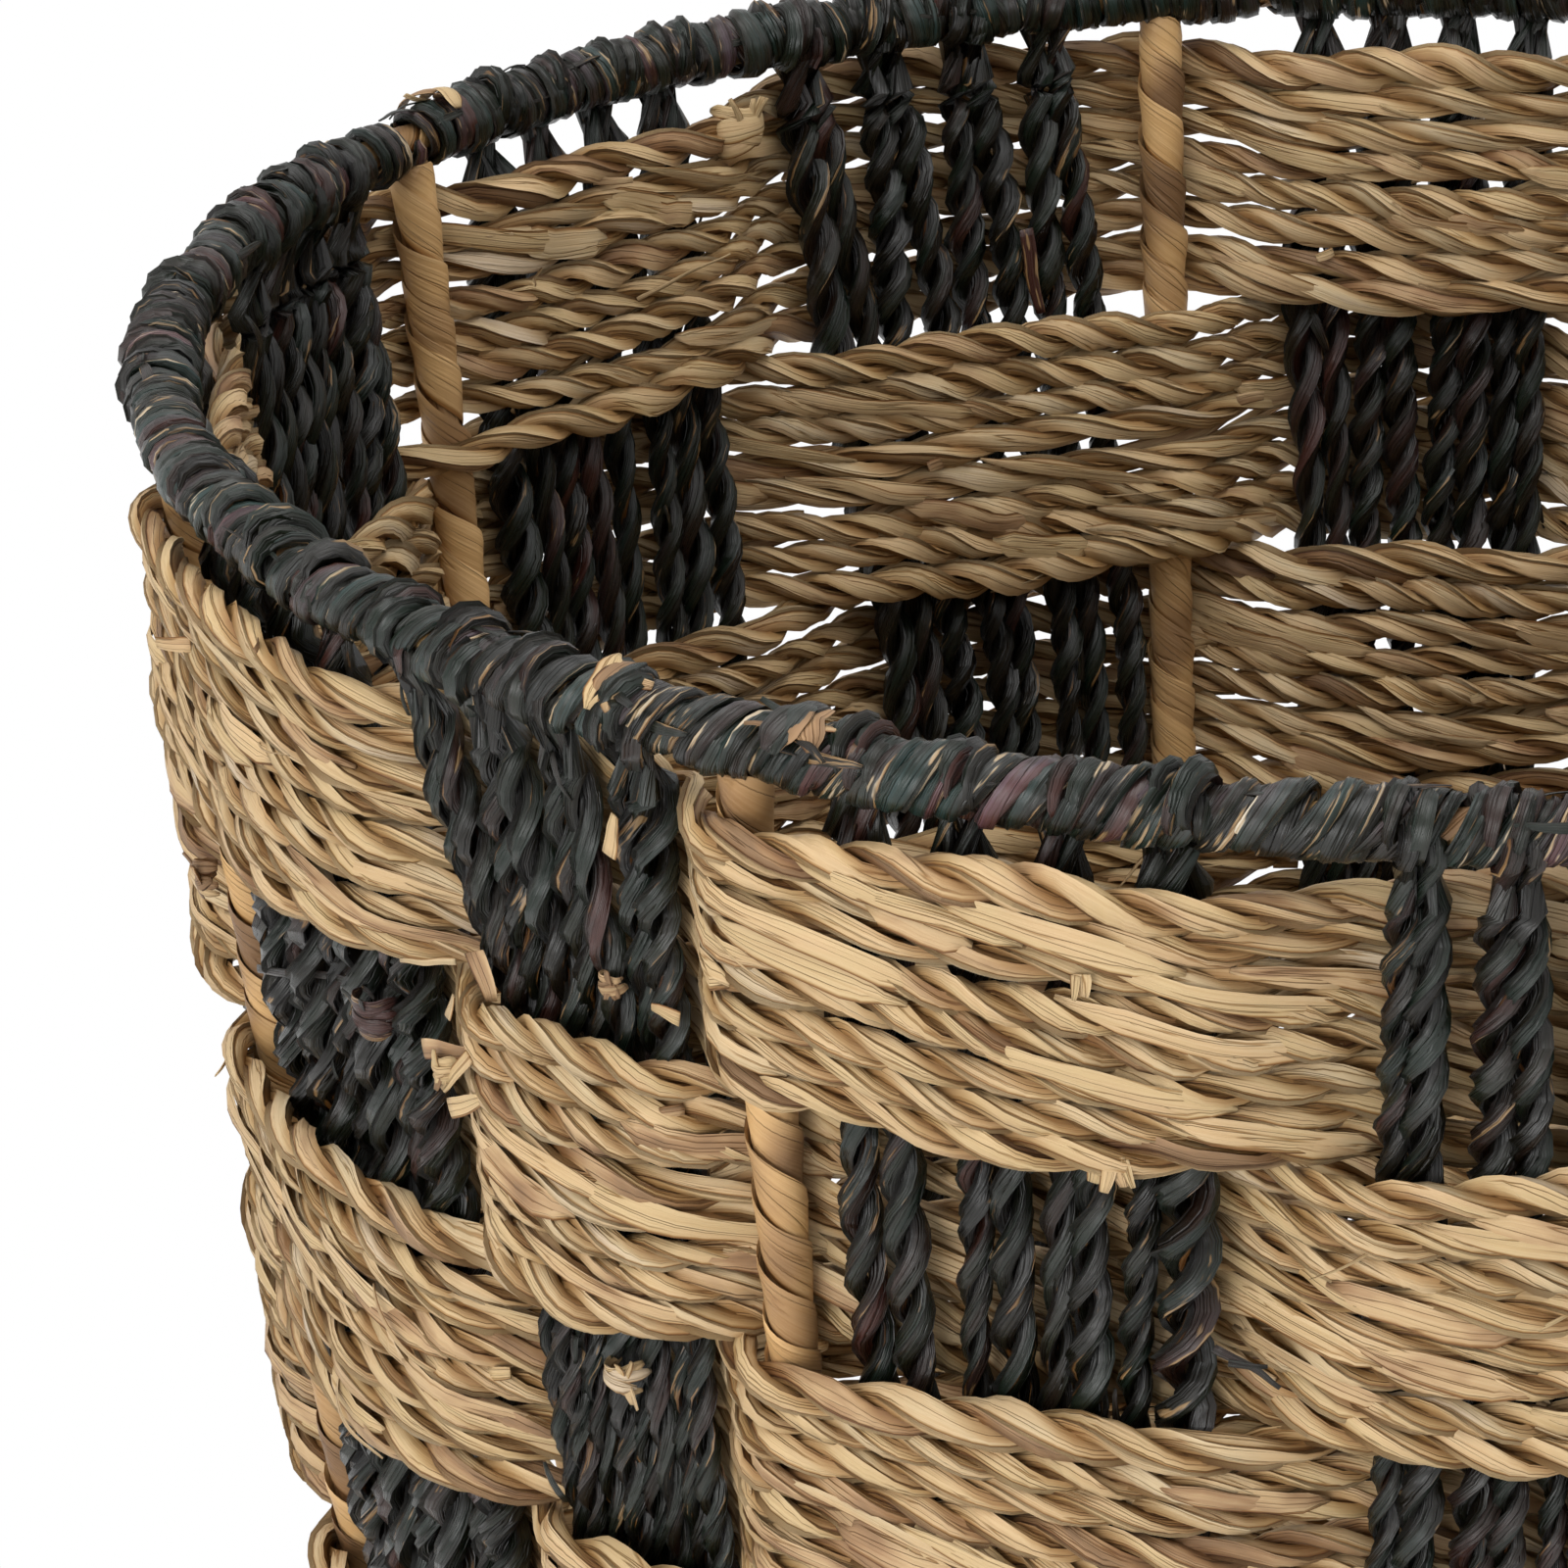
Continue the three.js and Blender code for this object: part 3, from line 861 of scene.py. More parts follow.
class BASKET_OT_weft(bpy.types.Operator):
    """Weaves the natural bands, eight rows of twisted cord in each"""

    bl_idname = "basket.weft"
    bl_label = "Weft bands"

    def execute(self, context):
        material = natural_grass()
        for band in range(BANDS):
            rng = random_numbers("weft", band)
            bundle = Bundle(CORD_SIDES, CORD_SHARP)
            for row in range(settings("basket_weft").rows):
                self.lay_row(bundle, rng, band, row)
            add_piece(f"weft_cords_{band + 1}", bundle, material, "natural_seagrass", f"weft_band_{band + 1}")
        return {"FINISHED"}

    def lay_row(self, bundle, rng, band, row):
        """One row of cord, once round the wall"""
        weft = settings("basket_weft")
        wave = weft_wave(band, row)
        radius = wall_radius(BAND_MIDDLES[band])
        start = rng.uniform(0, TAU)
        reach = TAU + ROW_OVERLAP / radius
        length = reach * radius
        count = int(length / weft.step)
        angle = np.linspace(start, start + reach, count)
        swell = np.interp(angle, wave[0], wave[2], period=TAU)
        stray = wander(rng, count, length, (weft.stray, ROW_WAVE))
        path = weft_path(band, row, angle, wave, wander(rng, count, length, ROW_LIFT))
        path[:, 2] += stray + wander(rng, count, length, ROW_SHAKE)
        at_edge = row in (0, weft.rows - 1)
        width = weft.cord * (1 + wander(rng, count, length, ROW_WIDTH) + either_way(rng, ROW_WIDTHS))
        width = width * (weft.slim + (1 - weft.slim) * swell) * (weft.edge_row if at_edge else 1)
        twist = weft.twist * (1 + either_way(rng, ROW_TWISTS))
        flatness = weft.flatness * (EDGE_FLATNESS if at_edge else 1)
        add_cord(bundle, rng, path, outward(angle), width, twist, flatness, either_way(rng, ROW_SHADE))


def cord_places(group, cords, rng):
    """Place and width of the cords of a group, as shares of its width: they draw aside at one gap"""
    if group in UNEVEN_CORDS and cords == len(UNEVEN_CORDS[group]):
        return np.array(UNEVEN_CORDS[group])
    place = (np.arange(cords) + 0.5) / cords
    gap = WARP_GAPS.get(group, int(rng.integers(2, cords - 1)))
    width = WARP_GAP if group in WARP_GAPS else WARP_GAP * rng.uniform(*SMALL_GAPS)
    split = gap / cords
    below, above = place < split, place >= split
    place = place - width / 2 * below * (place / split)
    place = place + width / 2 * above * ((1 - place) / (1 - split))
    place = place + CORD_SHIFT / cords * rng.uniform(-1, 1, cords)
    return np.stack([place, (1 + CORD_WIDTHS * rng.uniform(-1, 1, cords)) / cords], axis=-1)


class BASKET_OT_warp(bpy.types.Operator):
    """Hangs the dark groups of cords from the rim down to the base hoop"""

    bl_idname = "basket.warp"
    bl_label = "Warp groups"

    def execute(self, context):
        material = dyed_grass()
        for group in range(GROUPS):
            rng = random_numbers("warp", group)
            bundle = Bundle(CORD_SIDES, CORD_SHARP)
            places = cord_places(group, settings("basket_warp").cords, rng)
            for cord, (share, part) in enumerate(places):
                self.hang_cord(bundle, rng, group, cord, share, part)
            number = f"{group + 1:02d}"
            add_piece(f"warp_cords_{number}", bundle, material, "dark_seagrass", f"warp_group_{number}")
        return {"FINISHED"}

    def hang_cord(self, bundle, rng, group, cord, share, part):
        """One cord from its end over the rim down to the base hoop, at its share of the group's width"""
        warp = settings("basket_warp")
        side = 1 if group % 2 == 0 else -1
        over = HITCH_POINTS
        rho = RIM_COVER - HITCH_SINK
        turn = np.radians(np.linspace(*HITCH_TURN, over))
        head = RIM_Z - WALL_HEAD * RIM_COVER
        z = np.linspace(head, BASE_Z, int((head - BASE_Z) / warp.step))
        height = np.concatenate([RIM_Z + rho * np.sin(turn), z])
        count = len(height)
        depth = np.clip((RIM_Z - height) / warp.spread, 0, 1) ** SPREAD_CURVE
        stand = RELIEF_LEAST + wobble(rng, count, WARP_RELIEF)
        forward = (1 if cord % 2 else -1) * warp.relief * stand * depth
        phase = math.pi * (BAND_MIDDLES[0] - z) / BAND_PITCH
        bow = side * warp.bow * (np.cos(phase) + wobble(rng, len(z), WARP_BOW)) - forward[over:]
        radius = np.concatenate([RIM_RADIUS - side * rho * np.cos(turn), wall_radius(z) - bow])
        slant = np.zeros(count)
        slant[:over] = side * np.linspace(HITCH_SLANT, 0, over) / RIM_RADIUS
        sway = wobble(rng, count, WARP_SWAY) / BASE_RADIUS
        first, last = group_edges(group, height)
        hitch = ((cord // 2 + 0.5) * 2 + (cord % 2 - 0.5) * HITCH_SPREAD) / warp.cords
        angle = first + (last - first) * (hitch + (share - hitch) * depth) + slant + sway * depth
        path = on_wall(angle, radius, height)
        out = outward(angle)
        out[:over] = unit(path[:over] - on_wall(angle, RIM_RADIUS, RIM_Z)[:over])
        blend = np.linspace(0, 1, HITCH_BLEND)[:, None]
        below = slice(over, over + HITCH_BLEND)
        out[below] = unit(out[over - 1] * (1 - blend) + out[below] * blend)
        span = GROUP_SPANS[group][1] - GROUP_SPANS[group][0]
        reach = (WIDTH_FOLLOWS * (last - first) + (1 - WIDTH_FOLLOWS) * span) * wall_radius(height)
        width = warp.fullness * reach * part * (1 + wobble(rng, count, WARP_WIDTH))
        width *= 1 + FORWARD_WIDTH * forward / MM
        width[:over] *= HITCH_WIDTH
        twist = warp.twist * (1 + either_way(rng, WARP_TWISTS))
        add_cord(bundle, rng, path, out, width, twist, WARP_FLATNESS, either_way(rng, WARP_SHADE), ROUND_CORD)


class BASKET_OT_rim(bpy.types.Operator):
    """Winds the dark cord round the rim hoop"""

    bl_idname = "basket.rim"
    bl_label = "Rim winding"

    def execute(self, context):
        rim = settings("basket_rim")
        material = dyed_grass()
        rho = RIM_WIRE + rim.cord * rim.flatness / 2
        for part in range(GROUPS):
            rng = random_numbers("rim", part)
            bay = part // 2
            middle = (GROUP_SPANS[2 * bay][1] + GROUP_SPANS[2 * bay + 1][0]) / 2
            start, end = (bay * BAY, middle) if part % 2 == 0 else (middle, (bay + 1) * BAY)
            bare_start = part in (2 * BARE_POST, 2 * BARE_MIDDLE + 1)
            bare_end = part in (2 * BARE_POST - 1, 2 * BARE_MIDDLE)
            start += (rim.bare if bare_start else -rim.lap) / RIM_RADIUS
            end -= (rim.bare if bare_end else -rim.lap) / RIM_RADIUS
            turns = (end - start) * RIM_RADIUS / rim.pitch
            count = int(turns * TAU * rho / rim.step)
            share = np.linspace(0, 1, count)
            turn = TAU * turns * share + wobble(rng, count, RIM_TURN, turns) + rng.uniform(0, TAU)
            angle = start + (end - start) * share + wobble(rng, count, RIM_ALONG, turns) / RIM_RADIUS
            angle = angle + rim.slant / RIM_RADIUS * np.sin(turn)
            lift = rho + wobble(rng, count, RIM_LIFT, turns)
            path = on_wall(angle, RIM_RADIUS + lift * np.cos(turn), RIM_Z + lift * np.sin(turn))
            out = unit(path - on_wall(angle, RIM_RADIUS, RIM_Z))
            width = rim.cord * (1 + wobble(rng, count, RIM_WIDTH, turns))
            bundle = Bundle(CORD_SIDES, CORD_SHARP)
            shade = either_way(rng, RIM_SHADE)
            # The rim's cords get a painted highlight, more tan flecks and stronger lines on their outer side
            add_cord(bundle, rng, path, out, width, rim.twist, rim.flatness, shade, painted_sheen_and_flecks=1.0)
            number = f"{part + 1:02d}"
            add_piece(f"rim_turns_{number}", bundle, material, "dark_seagrass", f"rim_wrap_{number}")
        return {"FINISHED"}


def wind_wire(bundle, rng, path, out, radius):
    """A round wire with a flat ribbon of grass lapped round it"""
    wire = settings("basket_wire")
    out, side = frame_of(path, out)
    core = radius - 2 * wire.thick
    add_oval(bundle, rng, path, out, side, core, core, CORE_SHADE)
    run = run_of(path)
    lead = RIBBON_STARTS * wire.ribbon
    turns = run[-1] / lead
    count = int(turns * wire.turn_steps)
    slope = math.atan2(lead, TAU * radius)
    section = np.linspace(0, TAU, bundle.sides, endpoint=False)
    place = np.linspace(0, run[-1], count)
    for start in range(RIBBON_STARTS):
        turn = TAU * start / RIBBON_STARTS - TAU * place / lead + wobble(rng, count, RIBBON_TURN, turns)
        half = wire.ribbon / 2 * math.cos(slope) + wire.overlap
        half = (half * (1 + wobble(rng, count, RIBBON_WIDTH, turns)))[:, None]
        across = half * np.sin(section)
        reach = np.clip(place[:, None] + across * math.cos(slope), 0, run[-1])
        spin = turn[:, None] + across * math.sin(slope) / radius
        raised = wire.lap * (1 + wobble(rng, count, RIBBON_LAP, turns))[:, None] * (across / half)
        raised = np.clip(raised, -wire.thick, None) * LAP_LIFT
        lift = radius - wire.thick + np.cos(section) * wire.thick + raised
        middle, away, beside = (
            np.stack([np.interp(reach, run, column) for column in vectors.T], -1)
            for vectors in (path, out, side)
        )
        radial = away * np.cos(spin)[..., None] + beside * np.sin(spin)[..., None]
        columns = (
            0.5 - 0.5 * np.sin(section),
            (place * TAU * radius / lead / RUN_UNIT)[:, None] + RIBBON_PATTERN * start,
            rng.uniform(0, PATTERN_SEEDS),
        )
        blade = np.stack([np.broadcast_to(column, spin.shape) for column in columns], -1)
        tone = wobble(rng, count, RIBBON_TONE, turns)[:, None] + RIBBON_DIFFERS * (start - 0.5)
        rings = middle + radial * lift[..., None]
        rings[..., 2] = np.maximum(rings[..., 2], 0.0)
        bundle.add(rings, blade, tone)


class BASKET_OT_wires(bpy.types.Operator):
    """Lays the ribboned posts, hoops and base wires"""

    bl_idname = "basket.wires"
    bl_label = "Wire frame"

    def execute(self, context):
        wire = settings("basket_wire")
        for post in range(POSTS):
            name = f"post_{post + 1}"
            low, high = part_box(name)
            z = np.linspace(low.z + wire.thick, high.z - wire.thick, int((high.z - low.z) / wire.step))
            angle = np.full(len(z), post * BAY)
            path = on_wall(angle, wall_radius(z), z)
            rng = random_numbers("post", post)
            self.wind(f"post_ribbon_{post + 1}", rng, [(path, outward(angle))], POST_RADIUS, name)
        hoops = (("rim_hoop", RIM_RADIUS, RIM_Z, RIM_WIRE), ("base_hoop", BASE_RADIUS, BASE_Z, BASE_WIRE))
        for name, radius, z, thick in hoops:
            angle = np.linspace(0, TAU + HOOP_OVERLAP / radius, int(TAU * radius / wire.step))
            path = on_wall(angle, radius, z)
            rng = random_numbers("hoop", len(name))
            self.wind(f"{name}_ribbon", rng, [(path, outward(angle))], thick, name)
        low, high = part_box("base_cross")
        reach = np.linspace(low.x, high.x, int((high.x - low.x) / wire.step))
        middle = np.full(len(reach), (low.z + high.z) / 2)
        none, up = np.zeros(len(reach)), np.tile(UP, (len(reach), 1))
        paths = [(np.stack(place, -1), up) for place in ((reach, none, middle), (none, reach, middle))]
        self.wind("base_wires", random_numbers("cross"), paths, half_size("base_cross", 2), "base_cross")
        return {"FINISHED"}

    def wind(self, name, rng, paths, radius, replaced):
        """One piece of ribboned wires along some paths"""
        bundle = Bundle(RIBBON_SIDES, RIBBON_SHARP)
        for path, out in paths:
            wind_wire(bundle, rng, path, out, radius)
        add_piece(name, bundle, wire_ribbon(), "wire_ribbon", replaced)


class BASKET_OT_mat(bpy.types.Operator):
    """Coils the base mat from one long cord"""

    bl_idname = "basket.mat"
    bl_label = "Base mat"

    def execute(self, context):
        low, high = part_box("base_panel")
        edge = high.x - (high.z - low.z) / 2
        turns = round(edge / MAT_PITCH)
        count = int(math.pi * edge * edge / MAT_PITCH / MAT_STEP)
        done = turns * np.sqrt(np.linspace(MAT_START, 1, count))
        climb = np.clip((done % 1 - (1 - MAT_CLIMB)) / MAT_CLIMB, 0, 1)
        climbed = np.minimum(np.floor(done) + climb * climb * (3 - 2 * climb), turns - 1)
        radius = (edge - MAT_PITCH * (turns - 1 - climbed)) * np.clip(done, MAT_MIDDLE, 1)
        angle = TAU * done
        near = np.minimum(np.abs(radius * np.sin(angle)), np.abs(radius * np.cos(angle)))
        press = np.clip(PRESS_START - near / PRESS_REACH, 0, 1)
        path = on_wall(angle, radius, (low.z + high.z) / 2 - press * PRESS_DROP)
        bundle = Bundle(CORD_SIDES, CORD_SHARP)
        up = np.tile(UP, (count, 1))
        twist = settings("basket_weft").twist
        add_cord(bundle, random_numbers("mat"), path, up, MAT_PITCH * MAT_WIDTH, twist, MAT_FLATNESS)
        for ring in bundle.rings:
            middle = path[:, None, 2]
            ring[..., 2] = middle + (ring[..., 2] - middle) * (1 - PRESS_FLAT * press[:, None])
            ring[..., 2] = np.clip(ring[..., 2], low.z + FLOOR_GAP, None)
        add_piece("base_mat", bundle, natural_grass(), "natural_seagrass", "base_panel")
        return {"FINISHED"}


def add_blade(bundle, rng, start, heading, normal, length, width, curl, tone, tip=BLADE_TIP):
    """A loose flat blade from a start point: it curls towards its normal and narrows to its tip"""
    count = max(5, int(length / BLADE_STEP))
    share = np.linspace(0, 1, count)
    heading = unit(np.array(heading, float))
    normal = unit(normal - heading * (normal @ heading))
    bend = curl * share + wobble(rng, count, BLADE_BEND) * share
    sway = wobble(rng, count, BLADE_SWAY) * share
    along = heading * np.cos(bend)[:, None] + normal * np.sin(bend)[:, None]
    along = along + np.cross(heading, normal) * sway[:, None]
    steps = np.cumsum(unit(along)[:-1] * length / (count - 1), axis=0)
    path = start + np.concatenate([np.zeros((1, 3)), steps])
    out = normal * np.cos(bend)[:, None] - heading * np.sin(bend)[:, None]
    roll = either_way(rng, BLADE_ROLL) * share[:, None]
    out, across = rolled(*frame_of(path, out), roll)
    slim = 1 - (1 - tip) * share**2
    tone = tone + either_way(rng, LOOSE_SHADE)
    add_oval(bundle, rng, path, out, across, BLADE_THICK, width / 2 * slim, tone)


def add_knot(bundle, rng, centre, axis, out, radius, tone, kind):
    """Blades wound into a small ball on a cord that runs along axis, with short ends at its foot"""
    wraps, cover, ends = kind
    out = unit(out - axis * (out @ axis))
    for wrap in range(wraps):
        place = KNOT_SPACING * (2 * wrap + 1 - wraps) * rng.uniform(*KNOT_UNEVEN)
        tilt, swing = (rng.uniform(*tilts) for tilts in KNOT_TILTS)
        spin = unit(axis + out * tilt + np.cross(axis, out) * swing)
        front = unit(out - spin * (out @ spin))
        side = np.cross(spin, front)
        reach = cover * rng.uniform(*KNOT_UNEVEN)
        least, finer = KNOT_STEPS
        count = max(least, int(finer * reach * radius / BLADE_STEP))
        turn = np.linspace(-reach / 2, reach / 2, count) + rng.uniform(*KNOT_STARTS)
        ride = radius * (rng.uniform(*KNOT_RIDES) - KNOT_BULGE * place**2 + wobble(rng, count, KNOT_RIDE))
        radial = front * np.cos(turn)[:, None] + side * np.sin(turn)[:, None]
        slide = radius * (place + wobble(rng, count, KNOT_SLIDE))
        path = centre + radial * ride[:, None] + axis * slide[:, None]
        face, across = frame_of(path, radial)
        near_end = np.minimum(np.arange(count), np.arange(count)[::-1])
        fade, narrow = KNOT_TAPER
        width = radius * rng.uniform(*KNOT_WIDTHS) * np.sqrt(np.clip(near_end / fade, narrow, 1))
        width = width * (1 + wobble(rng, count, KNOT_WIDTH))
        shade = tone - KNOT_DARKER + either_way(rng, BLADE_SHADE)
        add_oval(bundle, rng, path, face, across, KNOT_THICK, width, shade)
    side = np.cross(axis, out)
    for _ in range(ends):
        lean = rng.uniform(*KNOT_LEANS)
        heading = axis * rng.choice([-1, 1]) + side * lean + out * rng.uniform(*KNOT_RISES)
        start = centre + (out * KNOT_FOOT[0] + side * lean * KNOT_FOOT[1]) * radius
        length, width = radius * rng.uniform(*KNOT_LENGTHS), rng.uniform(*KNOT_END_WIDTHS) * MM
        curl, shade = rng.uniform(*KNOT_CURLS), tone - rng.uniform(*KNOT_SHADES)
        add_blade(bundle, rng, start, heading, out, length, width, curl, shade, STRAY_TIP)


def add_end(bundle, rng, start, lean, normal, kind, tip=BLADE_TIP):
    """A loose end of a kind: its length and width in mm, its curl and its shade"""
    length, width, curl, tone = (drawn(rng, value) for value in kind)
    add_blade(bundle, rng, start, lean, normal, length * MM, width * MM, curl, tone, tip)


class BASKET_OT_trim(bpy.types.Operator):
    """Adds cut ends, frayed blades, knots and stray strands"""

    bl_idname = "basket.trim"
    bl_label = "Loose ends and knots"

    def execute(self, context):
        pale, dark = natural_grass(), dyed_grass()
        spacing = settings("basket_trim").laid
        self.pale_knots, self.dark_knots = (Bundle(RIBBON_SIDES, RIBBON_SHARP) for _ in range(2))
        self.tie_knots()
        self.lay_strays()
        add_piece("cut_ends", self.band_ends(), pale, "natural_seagrass")
        outside, inside = self.laid_blades(1, spacing), self.laid_blades(-1, INSIDE_SPACING * spacing)
        add_piece("laid_blades_outside", outside, pale, "natural_seagrass")
        add_piece("laid_blades_inside", inside, pale, "natural_seagrass")
        add_piece("dark_ends", self.warp_ends(), dark, "dark_seagrass")
        add_piece("pale_knots", self.pale_knots, pale, "natural_seagrass")
        add_piece("dark_knots", self.dark_knots, dark, "dark_seagrass")
        return {"FINISHED"}

    def by_shade(self, shade):
        """The bundle that a shade belongs to, and its tone there"""
        return (self.dark_knots, shade - DYED_SHADE) if shade >= DYED else (self.pale_knots, shade)

    def band_ends(self):
        """Stubs and frays where the blades of the natural cords end"""
        weft = settings("basket_weft")
        bundle = Bundle(RIBBON_SIDES, RIBBON_SHARP)
        rng = random_numbers("ends")
        for band in range(BANDS):
            wave = weft_wave(band)
            for number in range(settings("basket_trim").ends):
                angle = rng.uniform(0, TAU)
                row = int(rng.integers(0, weft.rows))
                here, beyond = weft_path(band, row, np.array([angle, angle + END_AHEAD]), wave, 0.0)
                side = np.sign(np.hypot(here[0], here[1]) - wall_radius(here[2]))
                normal = outward(angle) * side
                heading = unit(beyond - here) * rng.choice([-1, 1])
                start = here + normal * weft.cord * END_LIFT + UP * rng.uniform(*END_SPREAD) * weft.cord
                rise = rng.uniform(*END_RISES)
                off, lift, *kind, tip = END_KINDS[number % len(END_KINDS)]
                lean = heading + normal * drawn(rng, off) + UP * rise * lift
                add_end(bundle, rng, start, lean, normal, kind, tip)
        return bundle

    def laid_blades(self, side, spacing):
        """Broad flat blades, on one side of the wall, that leave one row and tuck in under the next"""
        weft = settings("basket_weft")
        bundle = Bundle(LAID_SIDES, LAID_SHARP)
        rng = random_numbers("laid", side)
        sunk, high, low = LAID_LIFT
        narrow, power = LAID_TIP
        first, last = LAID_EDGES[0], weft.rows - LAID_EDGES[1]
        for band in range(BANDS):
            wave = weft_wave(band)
            radius = wall_radius(BAND_MIDDLES[band])
            for start in np.arange(0, TAU, spacing / radius):
                length = rng.uniform(*LAID_LENGTHS) * MM
                count = max(6, int(length / LAID_STEP))
                share = np.linspace(0, 1, count)
                angle = start + (rng.uniform(-0.5, 0.5) * spacing + share * length) / radius
                row = rng.uniform(first, last) + side * length / LAID_CROSSING * (share - 0.5)
                row = row + wobble(rng, count, LAID_ROW)
                arch = high * np.sin(math.pi * share) ** LAID_ARCH - low
                rise = weft.cord * weft.flatness * sunk + arch * MM
                path = weft_path(band, row, angle, wave, side * rise)
                roll = wobble(rng, count, LAID_ROLL)[:, None]
                out, across = rolled(*frame_of(path, outward(angle) * side), roll)
                near_end = np.minimum(share, 1 - share)
                slim = np.clip(near_end * rng.uniform(*LAID_TAPERS), narrow, 1) ** power
                width = rng.uniform(*LAID_WIDTHS) * MM * slim * (1 + wobble(rng, count, LAID_WIDTH))
                add_oval(bundle, rng, path, out, across, LAID_THICK, width, rng.uniform(*LAID_SHADES))
        return bundle

    def warp_ends(self):
        """Short dark blades that stand off the warp cords and the rim"""
        trim = settings("basket_trim")
        bundle = Bundle(RIBBON_SIDES, RIBBON_SHARP)
        rng = random_numbers("dark ends")
        for group in range(GROUPS):
            for _ in range(trim.dark_ends):
                z = rng.uniform(BASE_Z + WARP_END_LOW, RIM_Z)
                angle = rng.uniform(*group_edges(group, z))
                side = rng.choice([-1, 1])
                start, away, up = on_face(angle, z, side * WARP_END_LIFT)
                lean = up * rng.choice([-1, 1]) + round_wall(angle) * rng.uniform(*WARP_END_LEANS)
                lean = lean + away * side * rng.uniform(*WARP_END_RISES)
                add_end(bundle, rng, start, lean, away * side, WARP_END)
        for _ in range(trim.rim_ends):
            angle, turn = rng.uniform(0, TAU), rng.uniform(RIM_END_EDGE, math.pi - RIM_END_EDGE)
            radial = outward(angle) * math.cos(turn) + UP * math.sin(turn)
            start = on_wall(angle, RIM_RADIUS, RIM_Z) + radial * (RIM_COVER - RIM_END_SINK)
            lean = round_wall(angle) * rng.choice([-1, 1]) + radial * rng.uniform(*RIM_END_RISES)
            add_end(bundle, rng, start, lean, radial, RIM_END)
        return bundle

    def tie_knots(self):
        """Knots in the bands, the warp groups and the rim"""
        rng = random_numbers("knots")
        for angle, z, lift, shade, size in WALL_KNOTS:
            centre, away, up = on_face(math.radians(angle), z * MM, lift * MM)
            bundle, tone = self.by_shade(shade)
            add_knot(bundle, rng, centre, up, away * np.sign(lift), size * MM, tone, WALL_KNOT)
        for angle, shade, size in RIM_KNOTS:
            angle = math.radians(angle)
            centre, out = on_wall(angle, RIM_RADIUS, RIM_Z), unit(outward(angle) * RIM_KNOT_LEAN + UP)
            bundle, tone = self.by_shade(shade)
            add_knot(bundle, rng, centre, round_wall(angle), out, size * MM, tone, RIM_KNOT)

    def lay_strays(self):
        """Loose blades, stubs and frays that lie over the weave at the places listed in STRAYS"""
        rng = random_numbers("strays")
        for angle, z, end_angle, end_z, lift, width, shade in STRAYS:
            start, away = on_face(math.radians(angle), z * MM, lift * MM)[:2]
            reach = on_face(math.radians(end_angle), end_z * MM, lift * MM)[0] - start
            length = float(np.linalg.norm(reach))
            normal = away * np.sign(lift)
            bundle, tone = self.by_shade(shade)
            add_blade(bundle, rng, start, reach, normal, length, width * MM, STRAY_CURL, tone, STRAY_TIP)


class Nodes:
    """Makes the nodes of one material or world and links them"""

    def __init__(self, owner):
        owner.use_nodes = True
        self.tree = owner.node_tree
        self.tree.nodes.clear()

    def fill(self, socket, value):
        """Sets a socket to a value or links it to another node; None leaves it alone"""
        if isinstance(value, bpy.types.NodeSocket):
            self.tree.links.new(value, socket)
        elif value is not None:
            socket.default_value = value

    def make(self, kind, *values, **named):
        """First output of a new node; node() says what fills it"""
        return self.node(kind, *values, **named).outputs[0]

    def node(self, kind, *values, **named):
        """A new node: values fill sockets in order; names with a capital are sockets, others properties"""
        node = self.tree.nodes.new(kind)
        for name, value in named.items():
            if name[0].islower():
                setattr(node, name, value)
            else:
                self.fill(node.inputs[name.replace("_", " ")], value)
        for socket, value in zip(node.inputs, values):
            self.fill(socket, value)
        return node

    def sum(self, operation, *values):
        """The result of one sum"""
        return self.make("ShaderNodeMath", *values, operation=operation)

    def ranged(self, value, places, start, end):
        """A value moved from the range between two places to another range, and held inside it"""
        return self.make("ShaderNodeMapRange", value, *places, start, end)

    def noise(self, vector, by, detail=2.0):
        """Soft random values over a vector whose parts are scaled"""
        scaled = self.make("ShaderNodeVectorMath", vector, by, operation="MULTIPLY")
        return self.make("ShaderNodeTexNoise", Vector=scaled, Scale=1.0, Detail=detail)

    def attribute(self, name, output="Fac"):
        """What a mesh says at each point"""
        return self.node("ShaderNodeAttribute", attribute_name=name).outputs[output]

    def blend(self, factor, first, second, mode="MIX"):
        """Two colours mixed"""
        sockets = (factor, *(5 * [None]), first, second)
        return self.node("ShaderNodeMix", *sockets, data_type="RGBA", blend_type=mode).outputs[2]

    def ramp(self, factor, stops):
        """Colours along a scale"""
        node = self.node("ShaderNodeValToRGB", factor)
        elements = node.color_ramp.elements
        while len(elements) < len(stops):
            elements.new(0.5)
        for element, (place, colour) in zip(elements, stops):
            element.position = place
            element.color = (*colour, 1)
        return node.outputs[0]

    def seen(self):
        """One where the background itself is seen"""
        return self.node("ShaderNodeLightPath").outputs["Is Camera Ray"]

    def mixed(self, factor, first, second, output):
        """Two shaders mixed into the output"""
        self.node(output, self.make("ShaderNodeMixShader", factor, first, second))


